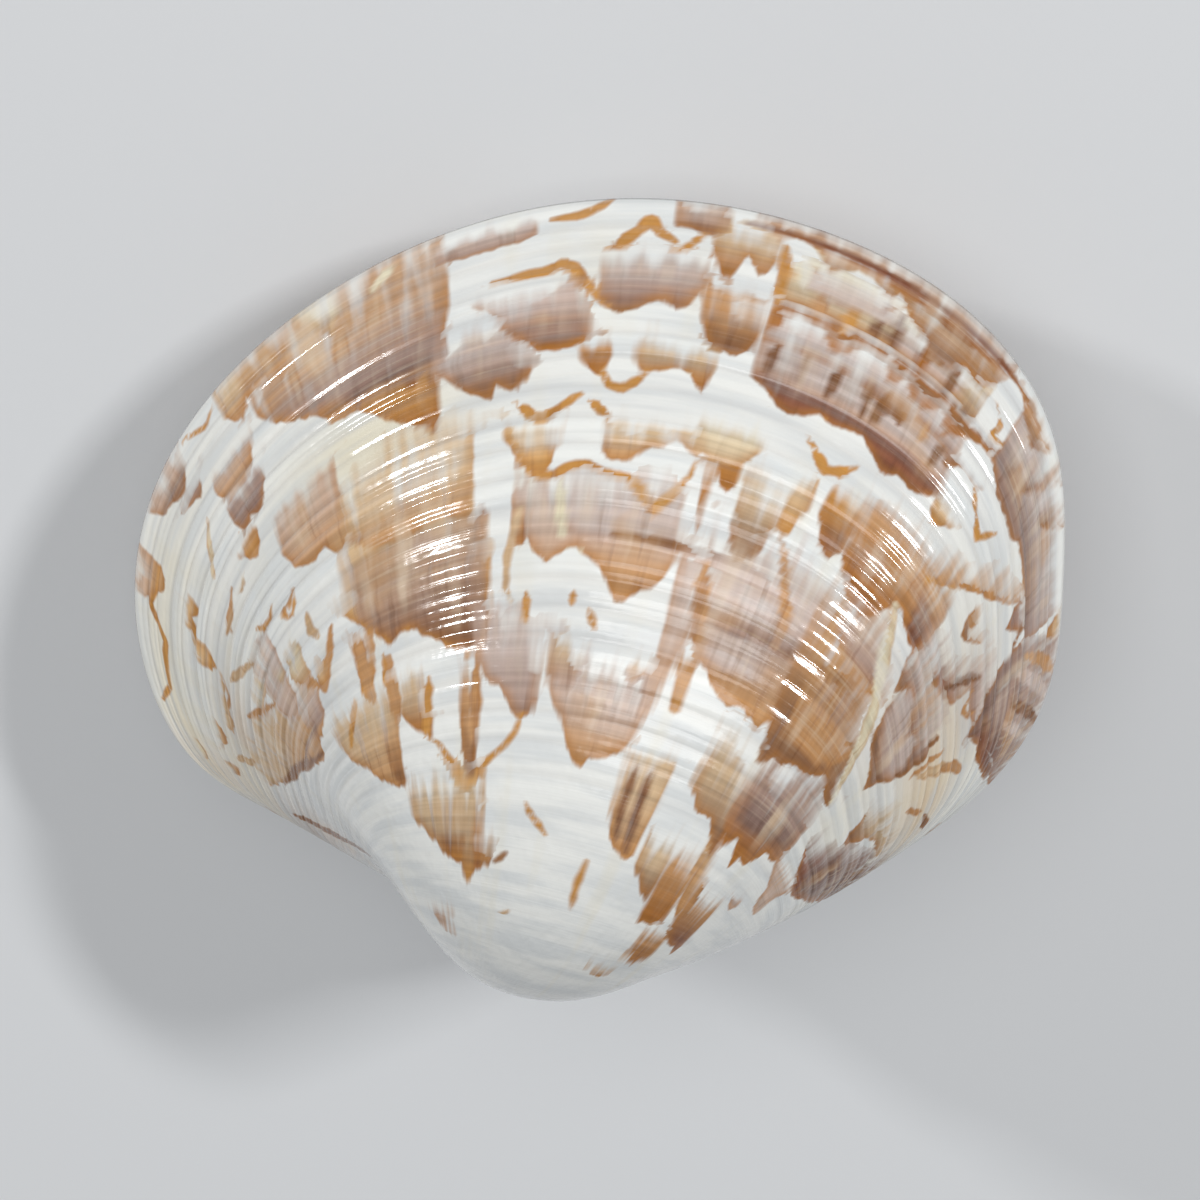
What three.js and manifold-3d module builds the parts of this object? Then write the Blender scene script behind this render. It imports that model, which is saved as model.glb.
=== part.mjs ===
// A Venus clam shell with its two valves closed, lying on the left valve.
// Millimetres, +Z up. +X points to the shell's hind end and +Y to its free lower margin.
import * as THREE from "three";
import { ParametricGeometry } from "three/addons/geometries/ParametricGeometry.js";
import { mergeVertices } from "three/addons/utils/BufferGeometryUtils.js";
import Module from "manifold-3d";

// Shape of one valve, in the shell's own frame: the beak is the origin, +X runs back along the
// hinge, +Y runs across the shell to its free margin, and the valves meet in the plane Z = 0.
// The margin is a smooth closed curve steered by these points, from the beak round the front end,
// along the free margin, round the hind end and back along the hinge.
const MARGIN_POINTS = [
  [0, 0],
  [-2.2, 0.7],
  [-5.7, 1.5],
  [-9.1, 2.2],
  [-12.3, 6.3],
  [-13.3, 12.6],
  [-10, 19.8],
  [-2.9, 26.3],
  [5.7, 29.4],
  [15.4, 28.6],
  [21.5, 24.4],
  [22.8, 18.6],
  [23.8, 13.3],
  [21.5, 8.6],
  [16.9, 3.8],
  [8.5, 0.6],
  [3.8, 0.2],
  [0, 0],
];

// Growth: a growth line is the margin made smaller and turned about the hinge, as a spiral.
const GROWTH_PER_RADIAN = 0.9; // natural logarithm of the growth in one radian of turn
const LENGTH_POWER = 0.94; // the young shell was a little longer for its height
const BEAK_SHIFT = 13; // how strongly the young shell sat further back
const BEAK_SHIFT_POWER = 0.42;
const HINGE_HOLD = 2.7; // height over which the hinge line keeps the lines at the beak
const SWELL = 0.4; // extra swelling of the flanks next to the hinge
const SWELL_TO_FRONT = 0.012; // more of it towards the front, per millimetre
const SWELL_HEIGHT = 29; // height over the hinge where the extra swelling ends
const FIRST_SIZE = 0.075; // size of the smallest growth line kept, as a share of the full size

// Ribs: low concentric ridges from the young shell to the margin.
const RIB_COUNT = 24;
const RIB_START = 0.3; // size of the shell where the ribs begin
const RIB_HEIGHT = 0.14;
const RIB_FADE_SIZE = 0.3; // change of size over which the first ribs gain height
const RIB_FADE_EDGE = 2.5; // height above the hinge over which the ribs die out

// Wall and hinge.
const INSIDE_CENTRE = [4, 14];
const INSIDE_SCALE = [0.9, 0.88, 0.84]; // the hollow is the outside, shrunk about that centre
const INSIDE_FIRST_SIZE = 0.32;
const HALF_GAP = 0.05; // from the plane where the valves meet to each rim
const NYMPH_LIFT = 0.95; // how far the hinge edge stands away for the ligament
const NYMPH_FROM = 0.84; // stretch of the margin with that lift, as shares of its whole run
const NYMPH_TO = 0.99;

// Ligament: a spindle in the slot behind the beaks.
const LIGAMENT_LENGTH = 6.8;
const LIGAMENT_MIDDLE = [7.9, 0.72];
const LIGAMENT_HALF_WIDTH = 0.5;
const LIGAMENT_HALF_DEPTH = 0.5;
const LIGAMENT_LEAN = 13; // degrees, following the slope of the hinge
const LIGAMENT_STATIONS = 12; // steps along it
const LIGAMENT_SIDES = 10;
const LIGAMENT_BLUNTNESS = 0.7; // 1 gives an ellipse, less gives blunter ends

// How the closed shell lies: its tilt puts the centre of mass over the small worn flat.
const TILT_TO_MARGIN = 13; // degrees, free margin down
const TILT_TO_FRONT = 8; // degrees, front end down
const BEAK_PLACE = [-5.24, -12.81, 11.16]; // the beak over the table

// Mesh density.
const AROUND = 36; // steps along the margin
const UMBO_ROWS = 7; // growth lines on the smooth young shell
const INSIDE_ROWS = 7;
const STEP = 1e-4; // for slopes taken by difference
const MERGE_DISTANCE = 1e-4;
const BELOW_TABLE_SIZE = 100; // side of the block that cuts the small flat

const wasm = await Module();
wasm.setup();

// A point of the margin, u from 0 to 1: a uniform cubic B-spline through both ends.
function marginPoint(u) {
  const last = MARGIN_POINTS.length - 1;
  const beyond = (end, next) => [2 * end[0] - next[0], 2 * end[1] - next[1]];
  const points = [
    beyond(MARGIN_POINTS[0], MARGIN_POINTS[1]),
    ...MARGIN_POINTS,
    beyond(MARGIN_POINTS[last], MARGIN_POINTS[last - 1]),
  ];
  const along = u * last;
  const span = Math.min(Math.floor(along), last - 1);
  const t = along - span;
  const weights = [
    (1 - t) ** 3,
    3 * t ** 3 - 6 * t ** 2 + 4,
    -3 * t ** 3 + 3 * t ** 2 + 3 * t + 1,
    t ** 3,
  ];
  return [0, 1].map((axis) => weights.reduce((sum, w, i) => sum + w * points[span + i][axis], 0) / 6);
}

// A smooth step from 0 at low to 1 at high.
function ease(value, low, high) {
  const t = THREE.MathUtils.clamp((value - low) / (high - low), 0, 1);
  return t * t * (3 - 2 * t);
}

// How far the hinge edge stands off the middle plane at u.
function nymphLift(u) {
  const rise = (NYMPH_TO - NYMPH_FROM) / 3;
  return NYMPH_LIFT * ease(u, NYMPH_FROM, NYMPH_FROM + rise) * (1 - ease(u, NYMPH_TO - rise, NYMPH_TO));
}

// A point of the smooth valve: size is the growth line's share of the full shell.
function valvePoint(u, size, lifted) {
  const [along, across] = marginPoint(u);
  const lift = lifted ? nymphLift(u) * size : 0;
  const turn = -Math.log(size) / GROWTH_PER_RADIAN;
  const stretch = size ** LENGTH_POWER;
  const free = 1 - Math.exp(-across / HINGE_HOLD);
  const shift = BEAK_SHIFT * stretch ** BEAK_SHIFT_POWER * (1 - stretch) * free;
  const swell = 1 + (SWELL - SWELL_TO_FRONT * along) * (1 - across / SWELL_HEIGHT);
  return new THREE.Vector3(
    stretch * along + shift,
    size * (across * Math.cos(turn) - lift * Math.sin(turn)),
    size * (across * swell * Math.sin(turn) + lift * Math.cos(turn)) + HALF_GAP,
  );
}

// The direction that faces out of the valve at a point.
function outward(u, size) {
  const here = valvePoint(u, size, true);
  const alongMargin = valvePoint(Math.min(u + STEP, 1), size, true).sub(here);
  const towardsBeak = valvePoint(u, size - STEP, true).sub(here);
  return towardsBeak.cross(alongMargin).normalize();
}

// How high a rib's crest stands at a point.
function crestHeight(u, size) {
  const nearHinge = 1 - Math.exp(-marginPoint(u)[1] / RIB_FADE_EDGE);
  return RIB_HEIGHT * nearHinge * ease(size, RIB_START, RIB_START + RIB_FADE_SIZE);
}

// The rows of a valve's surface, from the beak over the outside, round the rim and into the hollow.
// Each row is a function of u; the first and the last shrink to one point and close the surface.
function valveRows() {
  const middle = (row) => {
    const sum = new THREE.Vector3();
    for (let i = 0; i < AROUND; i += 1) {
      sum.add(row(i / AROUND));
    }
    return sum.divideScalar(AROUND);
  };
  const outside = (size) => (u) => valvePoint(u, size, true);
  const crest = (size) => (u) => {
    const height = crestHeight(u, size);
    const point = valvePoint(u, size, true);
    return height < STEP ? point : point.addScaledVector(outward(u, size), height);
  };
  const inside = (size) => (u) => {
    const p = valvePoint(u, size, false);
    return new THREE.Vector3(
      INSIDE_CENTRE[0] + (p.x - INSIDE_CENTRE[0]) * INSIDE_SCALE[0],
      INSIDE_CENTRE[1] + (p.y - INSIDE_CENTRE[1]) * INSIDE_SCALE[1],
      HALF_GAP + (p.z - HALF_GAP) * INSIDE_SCALE[2],
    );
  };
  const beakEnd = middle(outside(FIRST_SIZE));
  const rows = [() => beakEnd];
  for (let i = 0; i < UMBO_ROWS; i += 1) {
    rows.push(outside(FIRST_SIZE * (RIB_START / FIRST_SIZE) ** (i / UMBO_ROWS)));
  }
  const ribStep = (1 - RIB_START) / RIB_COUNT;
  for (let rib = 0; rib < RIB_COUNT; rib += 1) {
    rows.push(outside(RIB_START + rib * ribStep));
    rows.push(crest(RIB_START + (rib + 0.5) * ribStep));
  }
  rows.push(outside(1));
  for (let i = 0; i <= INSIDE_ROWS; i += 1) {
    rows.push(inside(1 - (i / INSIDE_ROWS) * (1 - INSIDE_FIRST_SIZE)));
  }
  const hollowEnd = middle(inside(INSIDE_FIRST_SIZE));
  rows.push(() => hollowEnd);
  return rows;
}

// A geometry with only merged positions and no collapsed triangles, as a closed solid.
function toSolid(geometry) {
  const bare = new THREE.BufferGeometry();
  bare.setAttribute("position", geometry.getAttribute("position"));
  bare.setIndex(geometry.getIndex());
  const merged = mergeVertices(bare, MERGE_DISTANCE);
  const index = merged.getIndex().array;
  const kept = [];
  for (let i = 0; i < index.length; i += 3) {
    const [a, b, c] = [index[i], index[i + 1], index[i + 2]];
    if (a !== b && b !== c && c !== a) {
      kept.push(a, b, c);
    }
  }
  return new wasm.Manifold(
    new wasm.Mesh({
      numProp: 3,
      vertProperties: merged.getAttribute("position").array,
      triVerts: new Uint32Array(kept),
    }),
  );
}

// A closed solid as a geometry with flat faces.
function toGeometry(solid) {
  const mesh = solid.getMesh();
  const geometry = new THREE.BufferGeometry();
  geometry.setAttribute("position", new THREE.BufferAttribute(mesh.vertProperties, 3));
  geometry.setIndex(new THREE.BufferAttribute(mesh.triVerts, 1));
  const flat = geometry.toNonIndexed();
  flat.computeVertexNormals();
  return flat;
}

// From the shell's own frame to how it lies on the table.
function lyingPlace() {
  const tilt = new THREE.Euler(
    THREE.MathUtils.degToRad(-TILT_TO_MARGIN),
    THREE.MathUtils.degToRad(-TILT_TO_FRONT),
    0,
  );
  const place = new THREE.Matrix4().makeRotationFromEuler(tilt);
  return place.setPosition(...BEAK_PLACE);
}

// One valve, already lying in its place; the left one is the right one's mirror image.
function makeValve(side) {
  const rows = valveRows();
  const geometry = new ParametricGeometry(
    (u, v, target) => target.copy(rows[Math.round(v * (rows.length - 1))](u)),
    AROUND,
    rows.length - 1,
  );
  if (side === "left") {
    geometry.scale(1, 1, -1);
    geometry.getIndex().array.reverse();
  }
  geometry.applyMatrix4(lyingPlace());
  return toSolid(geometry);
}

// What lies below the table top, to cut the small flat.
function belowTable() {
  const box = new THREE.BoxGeometry(BELOW_TABLE_SIZE, BELOW_TABLE_SIZE, BELOW_TABLE_SIZE);
  box.translate(0, 0, -BELOW_TABLE_SIZE / 2);
  return toSolid(box);
}

// The ligament, a spindle along the hinge.
function makeLigament() {
  const half = LIGAMENT_LENGTH / 2;
  const profile = [];
  for (let i = 0; i <= LIGAMENT_STATIONS; i += 1) {
    const angle = (i / LIGAMENT_STATIONS) * Math.PI;
    profile.push(new THREE.Vector2(Math.sin(angle) ** LIGAMENT_BLUNTNESS, -half * Math.cos(angle)));
  }
  profile[0].x = 0;
  profile[LIGAMENT_STATIONS].x = 0;
  const geometry = new THREE.LatheGeometry(profile, LIGAMENT_SIDES);
  geometry.scale(LIGAMENT_HALF_DEPTH, 1, LIGAMENT_HALF_WIDTH);
  geometry.rotateZ(THREE.MathUtils.degToRad(-90 + LIGAMENT_LEAN));
  geometry.translate(LIGAMENT_MIDDLE[0], LIGAMENT_MIDDLE[1], 0);
  geometry.applyMatrix4(lyingPlace());
  return toSolid(geometry);
}

const rightFinish = new THREE.MeshStandardMaterial({ color: 0xe9dfd3, roughness: 0.25, metalness: 0 });
const leftFinish = new THREE.MeshStandardMaterial({ color: 0xe4d6c8, roughness: 0.25, metalness: 0 });
const ligamentFinish = new THREE.MeshStandardMaterial({ color: 0x4a2f1b, roughness: 0.6, metalness: 0 });

const rightValve = new THREE.Mesh(toGeometry(makeValve("right")), rightFinish);
rightValve.name = "right_valve";

const leftValve = new THREE.Mesh(toGeometry(makeValve("left").subtract(belowTable())), leftFinish);
leftValve.name = "left_valve";

const ligament = new THREE.Mesh(toGeometry(makeLigament()), ligamentFinish);
ligament.name = "ligament";

const shell = new THREE.Group();
shell.name = "venus_clam_shell";
shell.add(rightValve, leftValve, ligament);

export default shell;
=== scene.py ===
"""A closed Venus clam lying on its left valve: two ribbed, glossy valves and the ligament between them.

Lengths are millimetres in the shell's own frame, where the beak is the origin, X runs back along the
hinge, Y runs across to the free margin and the valves meet in the plane Z = 0. What Blender gets is in
metres, lying on the table.
"""

import logging
import math
from dataclasses import dataclass
from enum import Enum

import bmesh
import bpy
import numpy as np
from mathutils import Matrix, Vector


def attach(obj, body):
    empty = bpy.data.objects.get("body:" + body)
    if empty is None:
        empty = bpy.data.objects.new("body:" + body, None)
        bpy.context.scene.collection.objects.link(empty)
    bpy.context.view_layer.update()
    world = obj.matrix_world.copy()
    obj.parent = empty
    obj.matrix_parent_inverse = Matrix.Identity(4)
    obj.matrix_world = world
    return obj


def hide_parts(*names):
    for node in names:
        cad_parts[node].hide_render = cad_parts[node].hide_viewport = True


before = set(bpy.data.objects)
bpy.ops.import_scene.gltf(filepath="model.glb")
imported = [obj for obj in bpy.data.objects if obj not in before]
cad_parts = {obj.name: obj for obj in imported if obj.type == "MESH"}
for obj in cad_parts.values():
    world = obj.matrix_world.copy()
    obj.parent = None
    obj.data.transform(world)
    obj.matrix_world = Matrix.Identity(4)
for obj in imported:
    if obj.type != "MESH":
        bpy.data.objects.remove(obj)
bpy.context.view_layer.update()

BODY = "root"
MM = 0.001
WELD = 1e-6
STEP = 1e-4
SMALL = 1e-9
TINY = 1e-12
FAR = 1e6

# How marks are drawn: u and size in thousandths, laid flat in millimetres.
THOUSANDTH = 0.001
MARGIN_LENGTH = 105.0
SIZE_LENGTH = 33.0
MARK_REACH = (0.012, 0.03)
STROKE_REACH = (0.01, 0.02)
BARE_DEPTH = -3.0
PAST_MARGIN = 1002

# How a patch is coloured: its rim, its soft sides, and its tones from the foot to the top.
RIM_WIDTH = 0.32
RIM_SHARE = 0.5
RIM_FACING = (-0.5, 0.6)
SOFT_FACING = (-0.1, 0.8)
UPPER_HEIGHT = (0.05, 0.7)
UPPER_SHARE = 0.84
UPPER_DEPTH = (0.35, 1.9)
THIN_HEIGHT = (0.15, 1.0)
THIN_SHARE = 0.45

# How a stroke is coloured: hard edges, thin ends and an uneven width.
STROKE_SOFT = -0.2
STROKE_HALF = 0.45
STROKE_END = 0.45
STROKE_TAPER = 0.3
STROKE_WANDER = 0.16
STROKE_WAVES = 17.0

# How wide the edges of marks are, in millimetres, and how they cover what lies below.
HARD_EDGE = 0.08
SOFT_EDGE = 1.1
LAY_EDGE = (-1.2, 0.6)
LEAST_COVER = 1e-3
LEAST_LAID = 1e-6

STREAK_DETAIL = 1.6

# Tents beside the hinge: the seeds of each valve, and how many stand where along the margin.
RIGHT_SEED = 3
LEFT_SEED = 7
FRONT_TENTS = (16, (20, 150))
HIND_TENTS = (26, (750, 950))

log = logging.getLogger("clam")


def ease(value: np.ndarray, low: float, high: float) -> np.ndarray:
    """Rises smoothly from 0 at low to 1 at high.

    Args:
        value: The numbers to look at.
        low: Where the rise starts.
        high: Where the rise ends.

    Returns:
        The rise at each number.
    """
    t = np.clip((value - low) / (high - low), 0.0, 1.0)
    return t * t * (3.0 - 2.0 * t)


def linear(colour: tuple[int, int, int]) -> tuple[float, float, float]:
    """Turns a screen colour into the linear colour that a shader takes.

    Args:
        colour: Red, green and blue from 0 to 255.

    Returns:
        Red, green and blue from 0 to 1, linear.
    """
    shares = (part / 255.0 for part in colour)
    return tuple(s / 12.92 if s <= 0.04045 else ((s + 0.055) / 1.055) ** 2.4 for s in shares)


def rgba(colour: tuple[int, int, int]) -> tuple[float, float, float, float]:
    """Gives a screen colour as the opaque linear colour of a shader's socket."""
    return (*linear(colour), 1.0)


@dataclass(frozen=True)
class Growth:
    """The growth of one valve: a growth line is the margin made smaller and turned about the hinge."""

    margin_points: tuple[tuple[float, float], ...] = (
        (0, 0), (-2.2, 0.7), (-5.7, 1.5), (-9.1, 2.2), (-12.3, 6.3), (-13.3, 12.6), (-10, 19.8),
        (-2.9, 26.3), (5.7, 29.4), (15.4, 28.6), (21.5, 24.4), (22.8, 18.6), (23.8, 13.3), (21.5, 8.6),
        (16.9, 3.8), (8.5, 0.6), (3.8, 0.2), (0, 0),
    )
    per_radian: float = 0.9
    length_power: float = 0.94
    beak_shift: float = 13.0
    beak_shift_power: float = 0.42
    hinge_hold: float = 2.7
    swell: float = 0.4
    swell_to_front: float = 0.012
    swell_height: float = 29.0
    half_gap: float = 0.05
    nymph_lift: float = 0.95
    nymph_from: float = 0.84
    nymph_to: float = 0.99

    def margin(self, u: np.ndarray) -> np.ndarray:
        """Gives the free edge, a uniform cubic B-spline through both ends of its points.

        Args:
            u: Places along the edge, from 0 at the beak round the front to 1.

        Returns:
            X and Y of each place.
        """
        points = np.array(self.margin_points, float)
        last = len(points) - 1
        points = np.vstack([2 * points[0] - points[1], points, 2 * points[-1] - points[-2]])
        along = np.asarray(u, float) * last
        span = np.clip(along.astype(int), 0, last - 1)
        t = (along - span)[..., None]
        weights = (
            (1 - t) ** 3,
            3 * t**3 - 6 * t**2 + 4,
            -3 * t**3 + 3 * t**2 + 3 * t + 1,
            t**3,
        )
        return sum(w * points[span + i] for i, w in enumerate(weights)) / 6.0

    def lift(self, u: np.ndarray) -> np.ndarray:
        """Gives how far the hinge edge stands off the middle plane.

        Args:
            u: Places along the margin.

        Returns:
            Heights in millimetres.
        """
        rise = (self.nymph_to - self.nymph_from) / 3.0
        up = ease(u, self.nymph_from, self.nymph_from + rise)
        return self.nymph_lift * up * (1.0 - ease(u, self.nymph_to - rise, self.nymph_to))

    def point(self, u: np.ndarray, size: np.ndarray, lifted: bool = True) -> np.ndarray:
        """Gives the smooth surface.

        Args:
            u: Places along the margin.
            size: The growth lines' shares of the full shell.
            lifted: Whether the hinge edge stands off for the ligament, as it does outside.

        Returns:
            The points, in millimetres.
        """
        margin = self.margin(u)
        along, across = margin[..., 0], margin[..., 1]
        lift = self.lift(u) * size if lifted else 0.0
        turn = -np.log(size) / self.per_radian
        stretch = size**self.length_power
        free = 1.0 - np.exp(-across / self.hinge_hold)
        shift = self.beak_shift * stretch**self.beak_shift_power * (1.0 - stretch) * free
        swell = 1.0 + (self.swell - self.swell_to_front * along) * (1.0 - across / self.swell_height)
        return np.stack(
            [
                stretch * along + shift,
                size * (across * np.cos(turn) - lift * np.sin(turn)),
                size * (across * swell * np.sin(turn) + lift * np.cos(turn)) + self.half_gap,
            ],
            axis=-1,
        )

    def outward(self, u: np.ndarray, size: np.ndarray) -> np.ndarray:
        """Gives the direction that faces out of the valve.

        Args:
            u: Places along the margin.
            size: The growth lines' sizes.

        Returns:
            Unit directions, zero where the surface shrinks to a point.
        """
        along = self.point(np.minimum(u + STEP, 1.0), size) - self.point(np.maximum(u - STEP, 0.0), size)
        inward = self.point(u, size - STEP) - self.point(u, size)
        out = np.cross(inward, along)
        length = np.linalg.norm(out, axis=-1, keepdims=True)
        return np.where(length > SMALL, out / np.maximum(length, SMALL), 0.0)


@dataclass(frozen=True)
class Lying:
    """How the closed shell lies on the table."""

    to_margin: float = 13.0
    to_front: float = 8.0
    beak: tuple[float, float, float] = (-5.24, -12.81, 11.16)

    def matrix(self) -> Matrix:
        """Gives the place of the shell's own frame.

        Returns:
            Its matrix, in millimetres.
        """
        tilt = Matrix.Rotation(math.radians(-self.to_margin), 4, "X")
        tilt = tilt @ Matrix.Rotation(math.radians(-self.to_front), 4, "Y")
        return Matrix.Translation(self.beak) @ tilt

    def place(self, points: np.ndarray) -> np.ndarray:
        """Takes points in the shell's own frame to metres on the table.

        Args:
            points: Millimetres in the shell's own frame.

        Returns:
            Metres on the table.
        """
        place = np.array(self.matrix())
        return (points @ place[:3, :3].T + place[:3, 3]) * MM


@dataclass(frozen=True)
class Ribs:
    """Low flat-topped concentric ribs with narrow grooves, each with a finer line in its top."""

    start: float = 0.3
    count: int = 24
    height: float = 0.12
    top_power: float = 2.6
    fine_place: float = 0.37
    fine_width: float = 0.07
    fine_depth: float = 0.4
    fade_size: float = 0.3
    fade_edge: float = 2.5
    front_fade: tuple[float, float] = (0.1, 0.36)
    front_share: float = 0.45
    jitter: float = 0.16
    strengths: tuple[float, float] = (0.55, 1.15)
    seed: int = 5
    stations: tuple[float, ...] = (0.0, 0.07, 0.19, 0.3, 0.37, 0.46, 0.68, 0.91)

    def grooves(self) -> np.ndarray:
        """Spaces the grooves, a little unevenly as growth is.

        Returns:
            Their sizes.
        """
        even = np.linspace(self.start, 1.0, self.count + 1)
        wander = np.random.default_rng(self.seed).uniform(-1.0, 1.0, self.count + 1)
        wander[0] = wander[-1] = 0.0
        return even + wander * self.jitter * (1.0 - self.start) / self.count

    def rows(self) -> np.ndarray:
        """Spaces the mesh rows that draw every rib.

        Returns:
            Their sizes.
        """
        grooves = self.grooves()
        sizes = [a + (b - a) * t for a, b in zip(grooves[:-1], grooves[1:]) for t in self.stations]
        return np.array([*sizes, 1.0])

    def profile(self, size: np.ndarray) -> np.ndarray:
        """Gives the ribs' outline without its height.

        Args:
            size: The growth lines' sizes.

        Returns:
            0 at the bottom of a groove and about 1 on a rib's top.
        """
        grooves = self.grooves()
        rib = np.clip(np.searchsorted(grooves, size, side="right") - 1, 0, self.count - 1)
        t = np.clip((size - grooves[rib]) / (grooves[rib + 1] - grooves[rib]), 0.0, 1.0)
        top = 1.0 - np.abs(2.0 * t - 1.0) ** self.top_power
        fine = np.exp(-(((t - self.fine_place) / self.fine_width) ** 2))
        strength = np.random.default_rng(self.seed + 1).uniform(*self.strengths, self.count)[rib]
        return strength * (top - self.fine_depth * fine)

    def height_at(self, u: np.ndarray, size: np.ndarray, across: np.ndarray) -> np.ndarray:
        """Gives how far the ribbed surface stands off the smooth one.

        Args:
            u: Places along the margin.
            size: The growth lines' sizes.
            across: The margin's distance from the hinge at the same places, in millimetres.

        Returns:
            Heights in millimetres.
        """
        near_hinge = 1.0 - np.exp(-across / self.fade_edge)
        young = ease(size, self.start, self.start + self.fade_size) ** 2
        front = self.front_share + (1.0 - self.front_share) * ease(u, *self.front_fade)
        return self.height * self.profile(size) * near_hinge * young * front


class Tone(Enum):
    """The colours of the shell's marks, as seen on a screen."""

    CREAM = (228, 219, 190)
    SAND = (214, 188, 152)
    TAN = (196, 148, 100)
    OCHRE = (204, 148, 74)
    AMBER = (160, 98, 32)
    BROWN = (134, 92, 62)
    RUST = (130, 78, 54)
    BLUSH = (206, 178, 158)
    LILAC = (206, 190, 182)
    MAUVE = (174, 147, 134)
    PLUM = (124, 96, 86)
    RIM = (176, 116, 52)


@dataclass(frozen=True)
class Mark:
    """One patch of colour, drawn in u and size.

    Args:
        tone: Its colour along the foot, the side of the beak.
        upper: Its colour at the top, the side of the margin.
        top: The size where it ends, in thousandths, or 0 if its outline is given all round.
        fade: Over how much size it fades out below the top, in thousandths, or 0 for a clean edge.
        outline: Its corners in turn, u and size in thousandths. With a top, only the foot is given, from
            left to right, and two corners at the top close it.
    """

    tone: Tone
    upper: Tone
    top: int
    fade: int
    outline: tuple[int, ...]

    def corners(self) -> np.ndarray:
        """Closes the outline.

        Returns:
            Its corners in u and size.
        """
        foot = np.array(self.outline, float).reshape(-1, 2)
        if self.top:
            foot = np.vstack([foot, (foot[-1, 0], self.top), (foot[0, 0], self.top)])
        return foot * THOUSANDTH

    def paint(self, canvas: "Canvas") -> None:
        """Lays the mark on the canvas.

        Args:
            canvas: The colours so far.
        """
        corners = self.corners()
        bottom, top = corners[:, 1].min(), corners[:, 1].max()
        near = canvas.near(corners, MARK_REACH)
        if not near.size:
            return
        depth, facing = outline_depth(*canvas.flat(near, corners))
        soft = ease(facing, *SOFT_FACING)
        height = np.clip((canvas.size[near] - bottom) / (top - bottom), 0.0, 1.0)
        tone, upper = np.array(linear(self.tone.value)), np.array(linear(self.upper.value))
        paler_up = ease(height, *UPPER_HEIGHT) * UPPER_SHARE
        paler_in = ease(depth, *UPPER_DEPTH) * (1.0 - soft)
        colour = tone + (upper - tone) * np.maximum(paler_up, paler_in)[:, None]
        cover = 1.0 - THIN_SHARE * ease(height, *THIN_HEIGHT)
        if self.fade:
            cover *= np.clip((top - canvas.size[near]) / (self.fade * THOUSANDTH), 0.0, 1.0)
        rim = np.clip(1.0 - depth / RIM_WIDTH, 0.0, 1.0) * ease(-facing, *RIM_FACING) * RIM_SHARE
        colour = colour + (np.array(linear(Tone.RIM.value)) - colour) * rim[:, None]
        canvas.lay(near, depth, soft, colour, cover)


@dataclass(frozen=True)
class Stroke:
    """One thin line of colour, drawn in u and size.

    Args:
        tone: Its colour.
        width: Its width in millimetres.
        path: Its points in turn, u and size in thousandths.
    """

    tone: Tone
    width: float
    path: tuple[int, ...]

    def paint(self, canvas: "Canvas") -> None:
        """Lays the stroke on the canvas.

        Args:
            canvas: The colours so far.
        """
        points = np.array(self.path, float).reshape(-1, 2) * THOUSANDTH
        near = canvas.near(points, STROKE_REACH)
        if not near.size:
            return
        offset, along = path_offset(*canvas.flat(near, points))
        taper = ease(along, 0.0, STROKE_TAPER) * ease(along, 1.0, 1.0 - STROKE_TAPER)
        thick = STROKE_END + (1.0 - STROKE_END) * taper
        thick *= 1.0 + STROKE_WANDER * np.sin(STROKE_WAVES * along + points[:, 0].min() / THOUSANDTH)
        depth = thick * self.width * STROKE_HALF - np.linalg.norm(offset, axis=1)
        colour = np.tile(np.array(linear(self.tone.value)), (near.size, 1))
        canvas.lay(near, depth, np.full(near.size, STROKE_SOFT), colour, np.ones(near.size))


@dataclass(frozen=True)
class Tint:
    """A soft change of the white ground, an oval in u and size.

    Args:
        tone: Its colour.
        strength: Its share at the middle.
        middle: U and size in thousandths.
        reach: Half its length in u and in size, in thousandths.
    """

    tone: Tone
    strength: float
    middle: tuple[int, int]
    reach: tuple[int, int]

    def share(self, u: np.ndarray, size: np.ndarray) -> np.ndarray:
        """Gives the tint's share at each place.

        Args:
            u: Places along the margin.
            size: The growth lines' sizes.

        Returns:
            Shares from 0 to 1.
        """
        across = (u / THOUSANDTH - self.middle[0]) / self.reach[0]
        up = (size / THOUSANDTH - self.middle[1]) / self.reach[1]
        return self.strength * np.exp(-(across**2 + up**2))


def path_offset(places: np.ndarray, points: np.ndarray) -> tuple[np.ndarray, np.ndarray]:
    """Finds the way from places to the nearest point of a line through points.

    Args:
        places: The places, two numbers each.
        points: The line's points in turn.

    Returns:
        The offsets from each place to the line, and how far along the line that is, from 0 to 1.
    """
    best = np.full(places.shape, FAR)
    along = np.zeros(len(places))
    passed = 0.0
    whole = np.linalg.norm(np.diff(points, axis=0), axis=1).sum()
    for a, b in zip(points[:-1], points[1:]):
        run = b - a
        length = np.linalg.norm(run)
        t = np.clip((places - a) @ run / max(length**2, TINY), 0.0, 1.0)
        offset = a + t[:, None] * run - places
        nearer = np.linalg.norm(offset, axis=1) < np.linalg.norm(best, axis=1)
        best[nearer] = offset[nearer]
        along[nearer] = (passed + t[nearer] * length) / whole
        passed += length
    return best, along


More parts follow.
